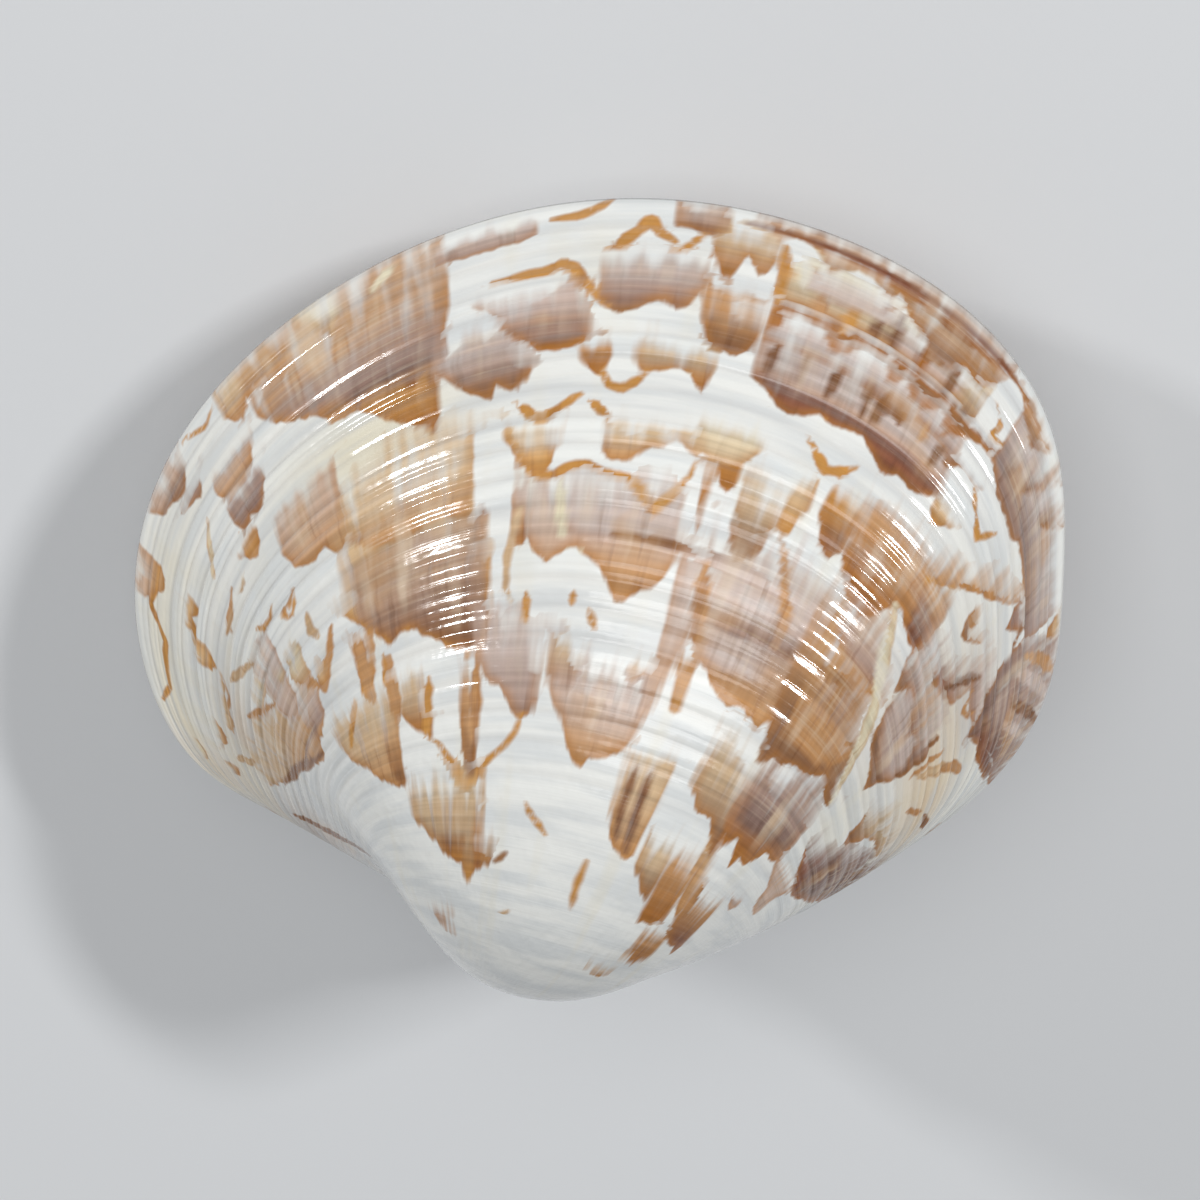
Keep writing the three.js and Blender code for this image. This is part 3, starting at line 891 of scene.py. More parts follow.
    Mark(T.RUST, T.BROWN, 987, 2, (488, 981, 500, 978, 520, 974, 545, 966, 568, 976)),
    Mark(T.BLUSH, T.MAUVE, 1002, 0, (486, 990, 520, 990, 568, 990)),
    Stroke(T.RUST, 0.3, (484, 984, 510, 983, 540, 983, 572, 984, 590, 978)),
    Mark(T.BROWN, T.TAN, 992, 3, (572, 984, 578, 972, 584, 965, 590, 954, 594, 966, 598, 976, 602, 990)),
    Mark(T.BROWN, T.BLUSH, 0, 0, (
        598, 918, 602, 930, 606, 952, 612, 978, 616, 1002, 606, 1002, 603, 970, 600, 944)),
    Mark(T.BROWN, T.BLUSH, 0, 0, (617, 940, 621, 950, 627, 972, 632, 1002, 622, 1002, 620, 975)),
    Mark(T.TAN, T.SAND, 1002, 0, (662, 985, 666, 966, 669, 962, 673, 980)),
    Stroke(T.OCHRE, 0.28, (569, 946, 575, 932, 573, 915, 579, 921)),
    # Margin, front half.
    Mark(T.BROWN, T.TAN, 1000, 0, (
        340, 960, 341, 920, 345, 895, 350, 884, 357, 870, 362, 858, 370, 845, 380, 825, 385, 811, 390, 800,
        395, 790, 400, 776, 402, 800, 401, 838, 404, 870, 406, 900, 406, 960)),
    Mark(T.PLUM, T.MAUVE, 926, 26, (
        346, 905, 351, 890, 358, 876, 366, 868, 374, 850, 382, 842, 392, 838, 403, 850, 404, 890)),
    Mark(T.AMBER, T.OCHRE, 846, 5, (
        364, 858, 371, 845, 380, 826, 386, 811, 392, 798, 400, 777, 401, 800, 398, 830)),
    Mark(T.RUST, T.PLUM, 852, 4, (390, 846, 393, 834, 397, 846)),
    Mark(T.CREAM, T.CREAM, 1002, 0, (360, 1002, 366, 966, 371, 944, 374, 966, 374, 1002)),
    Stroke(T.CREAM, 0.28, (385, 970, 391, 984)),
    Mark(T.BROWN, T.LILAC, 886, 34, (
        400, 838, 405, 824, 408, 810, 413, 802, 418, 794, 420, 808, 423, 800, 427, 795, 431, 820, 428,
        850)),
    Mark(T.MAUVE, T.LILAC, 990, 16, (403, 962, 412, 958, 424, 960, 431, 966)),
    Stroke(T.OCHRE, 0.34, (434, 980, 441, 980, 446, 987, 450, 1000)),
    Stroke(T.OCHRE, 0.45, (451, 940, 456, 956, 460, 972, 463, 958, 467, 950)),
    Mark(T.BROWN, T.BLUSH, 1002, 0, (466, 968, 471, 965, 475, 961, 479, 970)),
    Stroke(T.OCHRE, 0.23, (468, 941, 471, 948, 474, 962)),
    Mark(T.AMBER, T.SAND, 990, 44, (
        477, 950, 480, 922, 482, 914, 484, 929, 486, 948, 488, 938, 490, 927, 492, 930, 494, 950)),
    Stroke(T.OCHRE, 0.36, (418, 921, 433, 920, 438, 928, 441, 921, 444, 904, 448, 888, 451, 876)),
    Mark(T.BROWN, T.LILAC, 942, 24, (
        449, 886, 451, 879, 455, 868, 460, 874, 464, 884, 467, 888, 470, 872, 474, 888, 476, 902)),
    Mark(T.PLUM, T.MAUVE, 906, 4, (450, 888, 455, 874, 461, 882, 467, 892, 471, 880, 475, 900)),
    Mark(T.AMBER, T.LILAC, 916, 16, (
        410, 900, 414, 892, 419, 875, 423, 859, 428, 844, 433, 835, 438, 833, 443, 837, 447, 844, 445, 870,
        443, 895)),
    Mark(T.PLUM, T.MAUVE, 866, 3, (423, 862, 428, 848, 434, 840, 440, 839, 445, 846)),
    Mark(T.BROWN, T.TAN, 914, 12, (478, 870, 480, 852, 482, 845, 489, 839, 493, 850, 495, 868)),
    Mark(T.AMBER, T.SAND, 850, 24, (
        462, 822, 464, 806, 468, 811, 473, 817, 479, 812, 483, 797, 485, 822)),
    Stroke(T.OCHRE, 0.3, (453, 808, 455, 796, 459, 792, 463, 800, 466, 810)),
    Mark(T.AMBER, T.TAN, 842, 14, (446, 822, 448, 811, 451, 808, 454, 820)),
    Stroke(T.OCHRE, 0.34, (426, 786, 429, 778, 433, 768, 436, 765, 441, 776, 448, 789)),
    Stroke(T.OCHRE, 0.3, (450, 780, 457, 765)),
    Stroke(T.OCHRE, 0.34, (517, 790, 520, 784, 526, 770, 531, 776, 536, 790)),
    Mark(T.SAND, T.CREAM, 795, 30, (484, 762, 486, 742, 492, 738, 500, 744, 505, 760)),
)

TINTS: tuple[Tint, ...] = (
    Tint(T.CREAM, 0.75, (375, 800), (34, 55)),
    Tint(T.CREAM, 0.6, (220, 930), (80, 60)),
    Tint(T.CREAM, 0.5, (210, 770), (70, 60)),
    Tint(T.SAND, 0.4, (180, 880), (26, 140)),
    Tint(T.TAN, 0.35, (236, 745), (26, 50)),
    # The lunule's brown at the far front edge, darkened further as painted shade.
    Tint(T.BROWN, 0.5, (168, 600), (30, 130)),
    Tint(T.CREAM, 0.45, (670, 740), (60, 110)),
    Tint(T.CREAM, 0.3, (640, 560), (30, 60)),
    Tint(T.LILAC, 0.25, (600, 640), (40, 60)),
    Tint(T.SAND, 0.7, (700, 710), (60, 60)),
    # Mauve over the hind edge: its own colour, with painted shade where the edge turns away from the light.
    Tint(T.MAUVE, 0.45, (660, 800), (26, 50)),
    Tint(T.SAND, 0.8, (60, 600), (60, 600)),
    # A tan streak along the lunule's edge, partly its own colour and partly painted shade.
    Tint(T.TAN, 0.4, (202, 500), (18, 110)),
    # Mauve over the hind edge: its own colour, with painted shade where the edge turns away from the light.
    Tint(T.MAUVE, 0.35, (640, 700), (20, 40)),
)


@dataclass(frozen=True)
class TentScatter:
    """Small tent-shaped marks for the parts of a valve that no photograph shows."""

    seed: int
    count: int
    u_range: tuple[int, int]
    size_range: tuple[int, int] = (340, 980)
    halves: tuple[int, int] = (4, 13)
    heights: tuple[int, int] = (24, 80)
    teeth: tuple[int, int] = (2, 5)
    corner_lifts: tuple[int, int] = (14, 30)
    tip_lifts: tuple[int, int] = (0, 10)
    notch_lifts: tuple[int, int] = (12, 24)
    fade_share: float = 0.5
    tones: tuple[tuple[Tone, Tone], ...] = (
        (T.TAN, T.SAND), (T.BROWN, T.BLUSH), (T.OCHRE, T.CREAM), (T.PLUM, T.LILAC), (T.AMBER, T.TAN),
    )

    def marks(self) -> list[Mark]:
        """Draws the tents, each with a toothed foot.

        Returns:
            The tents, as marks.
        """
        rng = np.random.default_rng(self.seed)
        made = []
        for _ in range(self.count):
            middle = rng.uniform(*self.u_range)
            foot = rng.uniform(*self.size_range)
            half = rng.uniform(*self.halves)
            tall = rng.uniform(*self.heights)
            teeth = int(rng.integers(*self.teeth))
            outline = [middle - half, foot + rng.uniform(*self.corner_lifts)]
            for tooth in range(teeth):
                at = middle - half + 2 * half * (tooth + 0.5) / teeth
                outline += [at, foot + rng.uniform(*self.tip_lifts)]
                outline += [at + half / teeth, foot + rng.uniform(*self.notch_lifts)]
            tone, upper = self.tones[int(rng.integers(len(self.tones)))]
            top = int(min(foot + tall, PAST_MARGIN))
            made.append(Mark(tone, upper, top, int(tall * self.fade_share), tuple(int(v) for v in outline)))
        return made


class Nodes:
    """A shader's nodes, added and linked with few words."""

    def __init__(self, tree: bpy.types.NodeTree) -> None:
        """Keeps the tree to work on."""
        self.tree = tree

    def add(self, kind: str, values: dict | None = None, **settings: object) -> bpy.types.Node:
        """Adds one node.

        Args:
            kind: The node's type name.
            values: What its sockets get: a value, or an output socket to link.
            settings: The node's own settings.

        Returns:
            The node.
        """
        node = self.tree.nodes.new(kind)
        for name, setting in settings.items():
            setattr(node, name, setting)
        for name, value in (values or {}).items():
            socket = node.inputs[name]
            if isinstance(value, bpy.types.NodeSocket):
                self.tree.links.new(value, socket)
            else:
                socket.default_value = value
        return node

    def math(self, operation: str, *values: object) -> bpy.types.NodeSocket:
        """Adds a Math node and gives its output."""
        return self.add("ShaderNodeMath", dict(enumerate(values)), operation=operation).outputs[0]

    def ramp(
        self, value: object, low: float, high: float, start: float = 0.0, end: float = 1.0
    ) -> bpy.types.NodeSocket:
        """Adds a smooth Map Range from low..high to start..end and gives its output."""
        values = {0: value, 1: low, 2: high, 3: start, 4: end}
        return self.add("ShaderNodeMapRange", values, interpolation_type="SMOOTHSTEP").outputs[0]

    def mix(self, share: object, first: object, second: object, blend: str = "MIX") -> bpy.types.NodeSocket:
        """Adds a colour Mix node.

        Args:
            share: The second colour's share, a value or a socket.
            first: The colour below, a value or a socket.
            second: The colour above, a value or a socket.
            blend: How they mix.

        Returns:
            The mixed colour.
        """
        node = self.add("ShaderNodeMix", data_type="RGBA", blend_type=blend)
        for index, value in ((0, share), (6, first), (7, second)):
            if isinstance(value, bpy.types.NodeSocket):
                self.tree.links.new(value, node.inputs[index])
            else:
                node.inputs[index].default_value = value
        return node.outputs[2]

    def noise(
        self, vector: object, scale: float, detail: float = 2.0, roughness: float = 0.5
    ) -> bpy.types.NodeSocket:
        """Adds a Noise node and gives its value."""
        values = {"Vector": vector, "Scale": scale, "Detail": detail, "Roughness": roughness}
        return self.add("ShaderNodeTexNoise", values).outputs[0]

    def stretched(self, vector: object, scale: tuple[float, float], detail: float) -> bpy.types.NodeSocket:
        """Adds a noise drawn out in one direction.

        Args:
            vector: The map that it lies on.
            scale: How fast it changes to a unit of X and of Y.
            detail: How fine it is.

        Returns:
            Its value.
        """
        place = self.add("ShaderNodeMapping", {"Vector": vector, "Scale": (*scale, 1.0)}).outputs[0]
        return self.noise(place, 1.0, detail)

    def attribute(self, name: str) -> bpy.types.Node:
        """Adds a node that reads one of the mesh's attributes."""
        return self.add("ShaderNodeAttribute", attribute_name=name)

    def streak(
        self, group: bpy.types.NodeTree, vector: object, across: float, along: float
    ) -> bpy.types.NodeSocket:
        """Places the group of streaks and gives its output.

        Args:
            group: The group of streaks.
            vector: Its pattern's place, X across the streaks and Y along them.
            across: How many streaks there are to a unit of X.
            along: How fast they change along Y.

        Returns:
            The streaks' value.
        """
        values = {"Vector": vector, "Across": across, "Along": along}
        return self.add("ShaderNodeGroup", values, node_tree=group).outputs["Streak"]


def growth_streaks() -> bpy.types.NodeTree:
    """Builds the group of streaks that run from the beak to the margin, or along a ligament's fibres.

    Returns:
        The group, which takes a vector whose X runs across the streaks and Y along them.
    """
    tree = bpy.data.node_groups.new("growth_streaks", "ShaderNodeTree")
    tree.interface.new_socket("Vector", in_out="INPUT", socket_type="NodeSocketVector")
    for name in ("Across", "Along"):
        tree.interface.new_socket(name, in_out="INPUT", socket_type="NodeSocketFloat")
    tree.interface.new_socket("Streak", in_out="OUTPUT", socket_type="NodeSocketFloat")
    nodes = Nodes(tree)
    given = nodes.add("NodeGroupInput").outputs
    stretch = nodes.add("ShaderNodeCombineXYZ", {"X": given["Across"], "Y": given["Along"], "Z": 1.0})
    factors = {0: given["Vector"], 1: stretch.outputs[0]}
    scaled = nodes.add("ShaderNodeVectorMath", factors, operation="MULTIPLY")
    nodes.add("NodeGroupOutput", {"Streak": nodes.noise(scaled.outputs[0], 1.0, STREAK_DETAIL)})
    return tree


@dataclass(frozen=True)
class ShellGlaze:
    """The glossy finish of a valve: white ground, marks with ochre edges and streaks along the growth."""

    ground: tuple[int, int, int] = (236, 237, 233)
    ground_shade: tuple[int, int, int] = (198, 204, 208)
    body_light: tuple[int, int, int] = (229, 210, 184)
    body_dark: tuple[int, int, int] = (190, 158, 128)
    body_warm: tuple[int, int, int] = (200, 156, 108)
    body_cool: tuple[int, int, int] = (182, 160, 148)
    rim: tuple[int, int, int] = (178, 120, 56)
    # The colour of the painted shade in the grooves between the ribs.
    shade: tuple[int, int, int] = (150, 120, 96)
    roughness: float = 0.15
    roughness_spread: float = 0.3
    coat: float = 0.4
    coat_roughness: float = 0.05

    # Streaks from the beak to the margin: how many to a unit of u, and how fast they change with size.
    coarse_streaks: tuple[float, float] = (70.0, 5.0)
    fine_streaks: tuple[float, float] = (190.0, 9.0)
    hair_streaks: tuple[float, float] = (420.0, 14.0)

    # Noises, to a unit of u and of size, or of length for the grain.
    cloud: tuple[float, float] = (14.0, 46.0)
    band: tuple[float, float] = (5.0, 110.0)
    drift: tuple[float, float] = (42.0, 16.0)
    thread: tuple[float, float] = (11.0, 250.0)
    striae: tuple[float, float] = (10.0, 420.0)
    dimples: tuple[float, float] = (150.0, 70.0)
    grain: float = 900.0

    # The teeth of the marks' edges, their ochre rims and their thinning out, in millimetres or shares.
    jag_coarse: float = 0.5
    jag_fine: float = 0.36
    soft_jag: float = 4.0
    rim_ramp: tuple[float, ...] = (-0.05, 0.3, 0.34, 0.0)
    thinning: float = 1.4
    thin_ramp: tuple[float, ...] = (0.0, 0.85)

    # Where a noise or streak starts and ends to show, and its share at both.
    cloud_ramp: tuple[float, ...] = (0.38, 0.66, 0.0, 0.5)
    cream_ramp: tuple[float, ...] = (0.52, 0.76, 0.0, 0.24)
    hair_ramp: tuple[float, ...] = (0.25, 0.75, 0.96, 1.04)
    band_ramp: tuple[float, ...] = (0.3, 0.7, 0.8, 1.08)
    foot_ramp: tuple[float, ...] = (0.2, 1.2, 0.1, 1.0)
    warm_ramp: tuple[float, ...] = (0.5, 0.66, 0.0, 0.5)
    cool_ramp: tuple[float, ...] = (0.46, 0.34, 0.0, 0.4)
    thread_ramp: tuple[float, ...] = (0.5, 0.7, 0.0, 0.2)
    fine_ramp: tuple[float, ...] = (0.52, 0.7, 0.0, 0.3)
    dark_ramp: tuple[float, ...] = (0.6, 0.46, 0.0, 0.42)
    coarse_ramp: tuple[float, ...] = (0.56, 0.7, 0.0, 0.5)
    rough_ramp: tuple[float, ...] = (0.3, 0.7)
    hair_in_dark: float = 0.3
    groove_shade: float = 0.14

    # The fine unevenness of the surface.
    striae_height: float = 0.5
    grain_height: float = 0.4
    dimple_height: float = 1.6
    bump_distance: float = 0.00002
    bump_strength: float = 0.8

    def material(self, streaks: bpy.types.NodeTree) -> bpy.types.Material:
        """Builds the finish.

        Args:
            streaks: The group of streaks along the growth.

        Returns:
            The material.
        """
        material = bpy.data.materials.new("shell_glaze")
        material.use_nodes = True
        material.node_tree.nodes.clear()
        nodes = Nodes(material.node_tree)
        uv = nodes.add("ShaderNodeUVMap", uv_map="growth").outputs[0]
        coarse = nodes.streak(streaks, uv, *self.coarse_streaks)
        fine = nodes.streak(streaks, uv, *self.fine_streaks)
        hair = nodes.streak(streaks, uv, *self.hair_streaks)

        mask, rim = self._edges(nodes, coarse, fine)
        colour = nodes.mix(mask, self._ground(nodes, uv, coarse), self._body(nodes, uv, coarse, fine, hair))
        colour = nodes.mix(rim, colour, rgba(self.rim))
        # Painted shade: the colour is darkened in the grooves between the ribs, where shade falls.
        groove = nodes.math("MULTIPLY", nodes.attribute("groove").outputs["Fac"], self.groove_shade)
        colour = nodes.mix(groove, colour, rgba(self.shade), "MULTIPLY")

        grain = nodes.noise(nodes.add("ShaderNodeTexCoord").outputs["Object"], self.grain, 2.0)
        smooth = self.roughness * (1.0 - self.roughness_spread)
        rough = self.roughness * (1.0 + self.roughness_spread)
        shader = nodes.add("ShaderNodeBsdfPrincipled", {
            "Base Color": colour, "Roughness": nodes.ramp(grain, *self.rough_ramp, smooth, rough),
            "Coat Weight": self.coat, "Coat Roughness": self.coat_roughness,
            "Normal": self._bump(nodes, uv, grain),
        })
        nodes.add("ShaderNodeOutputMaterial", {"Surface": shader.outputs[0]})
        return material

    def _edges(
        self, nodes: Nodes, coarse: bpy.types.NodeSocket, fine: bpy.types.NodeSocket
    ) -> tuple[bpy.types.NodeSocket, bpy.types.NodeSocket]:
        """Finds where the marks are, with toothed edges.

        Args:
            nodes: The material's nodes.
            coarse: The coarse streaks.
            fine: The fine streaks.

        Returns:
            The share of the marks, and that of their ochre rims.
        """
        depth = nodes.attribute("mark_depth").outputs["Fac"]
        soft = nodes.attribute("mark_soft").outputs["Fac"]
        jag = nodes.math("MULTIPLY", nodes.math("SUBTRACT", coarse, 0.5), self.jag_coarse)
        jag = nodes.math("ADD", jag, nodes.math("MULTIPLY", nodes.math("SUBTRACT", fine, 0.5), self.jag_fine))
        jag = nodes.math("MULTIPLY", jag, nodes.math("MULTIPLY_ADD", soft, self.soft_jag, 1.0))
        place = nodes.math("ADD", depth, jag)
        half = nodes.math("MULTIPLY_ADD", nodes.math("MAXIMUM", soft, 0.0), SOFT_EDGE - HARD_EDGE, HARD_EDGE)
        mask = nodes.ramp(nodes.math("DIVIDE", place, half), -1.0, 1.0)
        thin = nodes.math("MULTIPLY", nodes.math("SUBTRACT", fine, 0.5), self.thinning)
        cover = nodes.attribute("mark_paint").outputs["Alpha"]
        mask = nodes.math("MULTIPLY", mask, nodes.ramp(nodes.math("ADD", cover, thin), *self.thin_ramp))
        rim = nodes.math("MULTIPLY", nodes.ramp(place, *self.rim_ramp), nodes.math("SUBTRACT", 1.0, soft))
        return mask, nodes.math("MULTIPLY", rim, mask)

    def _ground(
        self, nodes: Nodes, uv: bpy.types.NodeSocket, coarse: bpy.types.NodeSocket
    ) -> bpy.types.NodeSocket:
        """Colours the ground, white with bluish clouds and creamy streaks.

        Args:
            nodes: The material's nodes.
            uv: The growth map.
            coarse: The coarse streaks.

        Returns:
            The ground's colour.
        """
        tint = nodes.attribute("ground_tint")
        ground = nodes.mix(tint.outputs["Alpha"], rgba(self.ground), tint.outputs["Color"])
        cloud = nodes.ramp(nodes.stretched(uv, self.cloud, 3.0), *self.cloud_ramp)
        ground = nodes.mix(cloud, ground, rgba(self.ground_shade))
        return nodes.mix(nodes.ramp(coarse, *self.cream_ramp), ground, rgba(Tone.CREAM.value))

    def _body(
        self, nodes: Nodes, uv: bpy.types.NodeSocket, coarse: bpy.types.NodeSocket,
        fine: bpy.types.NodeSocket, hair: bpy.types.NodeSocket,
    ) -> bpy.types.NodeSocket:
        """Colours the marks, with streaks and bands of growth that hold back at their feet.

        Args:
            nodes: The material's nodes.
            uv: The growth map.
            coarse: The coarse streaks.
            fine: The fine streaks.
            hair: The finest streaks.

        Returns:
            The marks' colour.
        """
        depth = nodes.attribute("mark_depth").outputs["Fac"]
        above_foot = nodes.ramp(depth, *self.foot_ramp)
        band = nodes.ramp(nodes.stretched(uv, self.band, 2.0), *self.band_ramp)
        tone = nodes.math("MULTIPLY", nodes.ramp(hair, *self.hair_ramp), band)
        tone = nodes.add("ShaderNodeCombineColor", {0: tone, 1: tone, 2: tone}).outputs[0]
        body = nodes.mix(1.0, nodes.attribute("mark_paint").outputs["Color"], tone, "MULTIPLY")
        drift = nodes.stretched(uv, self.drift, 2.0)
        thread = nodes.stretched(uv, self.thread, 1.0)
        for value, ramp, colour in (
            (drift, self.warm_ramp, self.body_warm),
            (drift, self.cool_ramp, self.body_cool),
            (thread, self.thread_ramp, self.body_light),
            (fine, self.fine_ramp, self.body_light),
        ):
            share = nodes.math("MULTIPLY", nodes.ramp(value, *ramp), above_foot)
            body = nodes.mix(share, body, rgba(colour))
        dark = nodes.math("ADD", fine, nodes.math("MULTIPLY", hair, self.hair_in_dark))
        body = nodes.mix(nodes.ramp(dark, *self.dark_ramp), body, rgba(self.body_dark), "MULTIPLY")
        light = nodes.math("MULTIPLY", nodes.ramp(coarse, *self.coarse_ramp), above_foot)
        return nodes.mix(light, body, rgba(self.body_light))

    def _bump(
        self, nodes: Nodes, uv: bpy.types.NodeSocket, grain: bpy.types.NodeSocket
    ) -> bpy.types.NodeSocket:
        """Makes the surface a little uneven.

        Args:
            nodes: The material's nodes.
            uv: The growth map.
            grain: The fine grain.

        Returns:
            The normal.
        """
        striae = nodes.math("MULTIPLY", nodes.stretched(uv, self.striae, 1.0), self.striae_height)
        height = nodes.math("ADD", striae, nodes.math("MULTIPLY", grain, self.grain_height))
        dimples = nodes.math("MULTIPLY", nodes.stretched(uv, self.dimples, 1.0), self.dimple_height)
        values = {
            "Height": nodes.math("ADD", height, dimples),
            "Distance": self.bump_distance,
            "Strength": self.bump_strength,
        }
        return nodes.add("ShaderNodeBump", values).outputs[0]


@dataclass(frozen=True)
class DryLigament:
    """The finish of the ligament: dark, dry, horny fibres."""

    dark: tuple[int, int, int] = (44, 27, 17)
    light: tuple[int, int, int] = (112, 74, 44)
    roughness: float = 0.5
    fibres: tuple[float, float] = (40.0, 5.0)
    fibre_ramp: tuple[float, float] = (0.35, 0.75)
    bump_distance: float = 0.00005
    bump_strength: float = 0.8

    def material(self, streaks: bpy.types.NodeTree) -> bpy.types.Material:
        """Builds the finish.

        Args:
            streaks: The group of streaks, here the fibres.

        Returns:
            The material.
        """
        material = bpy.data.materials.new("dry_ligament")
        material.use_nodes = True
        material.node_tree.nodes.clear()
        nodes = Nodes(material.node_tree)
        uv = nodes.add("ShaderNodeUVMap", uv_map="fibres").outputs[0]
        fibre = nodes.streak(streaks, uv, *self.fibres)
        colour = nodes.mix(nodes.ramp(fibre, *self.fibre_ramp), rgba(self.dark), rgba(self.light))
        bump = nodes.add("ShaderNodeBump", {
            "Height": fibre, "Distance": self.bump_distance, "Strength": self.bump_strength,
        })
        shader = nodes.add("ShaderNodeBsdfPrincipled", {
            "Base Color": colour, "Roughness": self.roughness, "Normal": bump.outputs[0],
        })
        nodes.add("ShaderNodeOutputMaterial", {"Surface": shader.outputs[0]})
        return material


class Side(Enum):
    """Which half of the shell a valve is."""

    RIGHT = 1
    LEFT = -1


@dataclass
class Valve:
    """One valve: a ribbed outside, a rim and a smooth hollow, in one closed mesh."""

    name: str
    side: Side
    growth: Growth
    lying: Lying
    ribs: Ribs
    marks: list[Mark | Stroke]
    tints: tuple[Tint, ...] = TINTS
    first_size: float = 0.075
    umbo_rows: int = 16
    inside_rows: int = 10
    inside_centre: tuple[float, float] = (4.0, 14.0)
    inside_scale: tuple[float, float, float] = (0.9, 0.88, 0.84)
    inside_first: float = 0.32
    columns: int = 420
    fine_u: tuple[float, float] = (0.16, 0.76)
    fine_share: float = 0.82
    cut_reach: float = 1e-8

    def column_places(self) -> np.ndarray:
        """Spaces the mesh columns, closer together where the shell shows most.

        Returns:
            Their places along the margin.
        """
        total = self.columns
        fine = int(total * self.fine_share)
        low = int((total - fine) * self.fine_u[0] / (1.0 - self.fine_u[1] + self.fine_u[0]))
        return np.concatenate([
            np.linspace(0.0, self.fine_u[0], low, endpoint=False),
            np.linspace(*self.fine_u, fine, endpoint=False),
            np.linspace(self.fine_u[1], 1.0, total - fine - low + 1),
        ])

    def outside(self, u: np.ndarray, sizes: np.ndarray) -> np.ndarray:
        """Shapes the ribbed outside.

        Args:
            u: The columns' places along the margin.
            sizes: The rows' sizes.

        Returns:
            The points, in millimetres.
        """
        grid = np.meshgrid(u, sizes)
        across = self.growth.margin(grid[0])[..., 1]
        height = self.ribs.height_at(*grid, across) * (grid[1] < 1.0)
        return self.growth.point(*grid) + self.growth.outward(*grid) * height[..., None]

    def inside(self, u: np.ndarray, sizes: np.ndarray) -> np.ndarray:
        """Shapes the smooth hollow.

        Args:
            u: The columns' places along the margin.
            sizes: The rows' sizes.

        Returns:
            The points, in millimetres.
        """
        points = self.growth.point(*np.meshgrid(u, sizes), lifted=False)
        centre = np.array([*self.inside_centre, self.growth.half_gap])
        return centre + (points - centre) * np.array(self.inside_scale)

    def build(self) -> bpy.types.Object:
        """Builds the valve's mesh, with its growth map and colours.

        Returns:
            The object, at the origin with its place in its mesh.
        """
        u = self.column_places()
        shares = np.arange(self.umbo_rows) / self.umbo_rows
        umbo = self.first_size * (self.ribs.start / self.first_size) ** shares
        outside_sizes = np.concatenate([umbo, self.ribs.rows()])
        inside_sizes = np.linspace(1.0, self.inside_first, self.inside_rows)
        outside, inside = self.outside(u, outside_sizes), self.inside(u, inside_sizes)
        beak_end = np.broadcast_to(outside[0, :-1].mean(axis=0), (1, len(u), 3))
        hollow_end = np.broadcast_to(inside[-1, :-1].mean(axis=0), (1, len(u), 3))
        points = np.concatenate([beak_end, outside, inside, hollow_end])
        sizes = np.concatenate([umbo[:1], outside_sizes, inside_sizes, inside_sizes[-1:]])
        is_outside = np.arange(len(sizes)) <= len(outside_sizes)
        if self.side is Side.LEFT:
            points = points * np.array([1.0, 1.0, -1.0])

        mesh = bpy.data.meshes.new(self.name)
        sheet = bmesh.new()
        bmesh.ops.create_grid(sheet, x_segments=len(u) - 1, y_segments=len(sizes) - 1, size=1.0)
        sheet.to_mesh(mesh)
        sheet.free()
        flat = np.empty(len(mesh.vertices) * 3)
        mesh.vertices.foreach_get("co", flat)
        flat = flat.reshape(-1, 3)
        column = np.rint((flat[:, 0] + 1.0) / 2.0 * (len(u) - 1)).astype(int)
        row = np.rint((flat[:, 1] + 1.0) / 2.0 * (len(sizes) - 1)).astype(int)
        mesh.vertices.foreach_set("co", self.lying.place(points[row, column]).ravel())
        self._add_growth_map(mesh, u[column], sizes[row])
        self._add_colours(mesh, u[column], sizes[row], is_outside[row])
        self._close(mesh)
        mesh.shade_smooth()
        piece = bpy.data.objects.new(self.name, mesh)
        bpy.context.scene.collection.objects.link(piece)
        return piece

    def _add_growth_map(self, mesh: bpy.types.Mesh, u: np.ndarray, size: np.ndarray) -> None:
        """Adds the UV map whose X is u and Y is size.

        Args:
            mesh: The valve's mesh.
            u: Each point's place along the margin.
            size: Each point's size.
        """
        corner = np.empty(len(mesh.loops), dtype=np.int32)
        mesh.loops.foreach_get("vertex_index", corner)
        layer = mesh.uv_layers.new(name="growth")
        layer.data.foreach_set("uv", np.stack([u[corner], size[corner]], axis=-1).ravel())

    def _add_colours(
        self, mesh: bpy.types.Mesh, u: np.ndarray, size: np.ndarray, outside: np.ndarray
    ) -> None:
        """Lays the marks and keeps them as attributes of the mesh.

        Args:
            mesh: The valve's mesh.
            u: Each point's place along the margin.
            size: Each point's size.
            outside: Whether each point is on the outside.
        """
        canvas = Canvas(u, size)
        for mark in self.marks:
            mark.paint(canvas)
        for tint in self.tints:
            canvas.tint(tint)
        depth = np.where(outside, canvas.depth, BARE_DEPTH)
        # The groove attribute holds the share of painted shade in the grooves between the ribs.
        low = 1.0 - np.clip(self.ribs.profile(size), 0.0, 1.0)
        groove = np.where(outside & (size > self.ribs.start), low, 0.0)
        groove = groove * ease(size, self.ribs.start, self.ribs.start + self.ribs.fade_size)
        paint = np.concatenate([canvas.colour, canvas.cover[:, None]], axis=1)
        canvas.ground[:, 3] *= outside
        for name, kind, values, key in (
            ("mark_depth", "FLOAT", depth, "value"),
            ("mark_soft", "FLOAT", canvas.soft, "value"),
            ("groove", "FLOAT", groove, "value"),
            ("mark_paint", "FLOAT_COLOR", paint, "color"),
            ("ground_tint", "FLOAT_COLOR", canvas.ground, "color"),
        ):
            layer = mesh.attributes.new(name, kind, "POINT")
            layer.data.foreach_set(key, np.ascontiguousarray(values, dtype=np.float32).ravel())

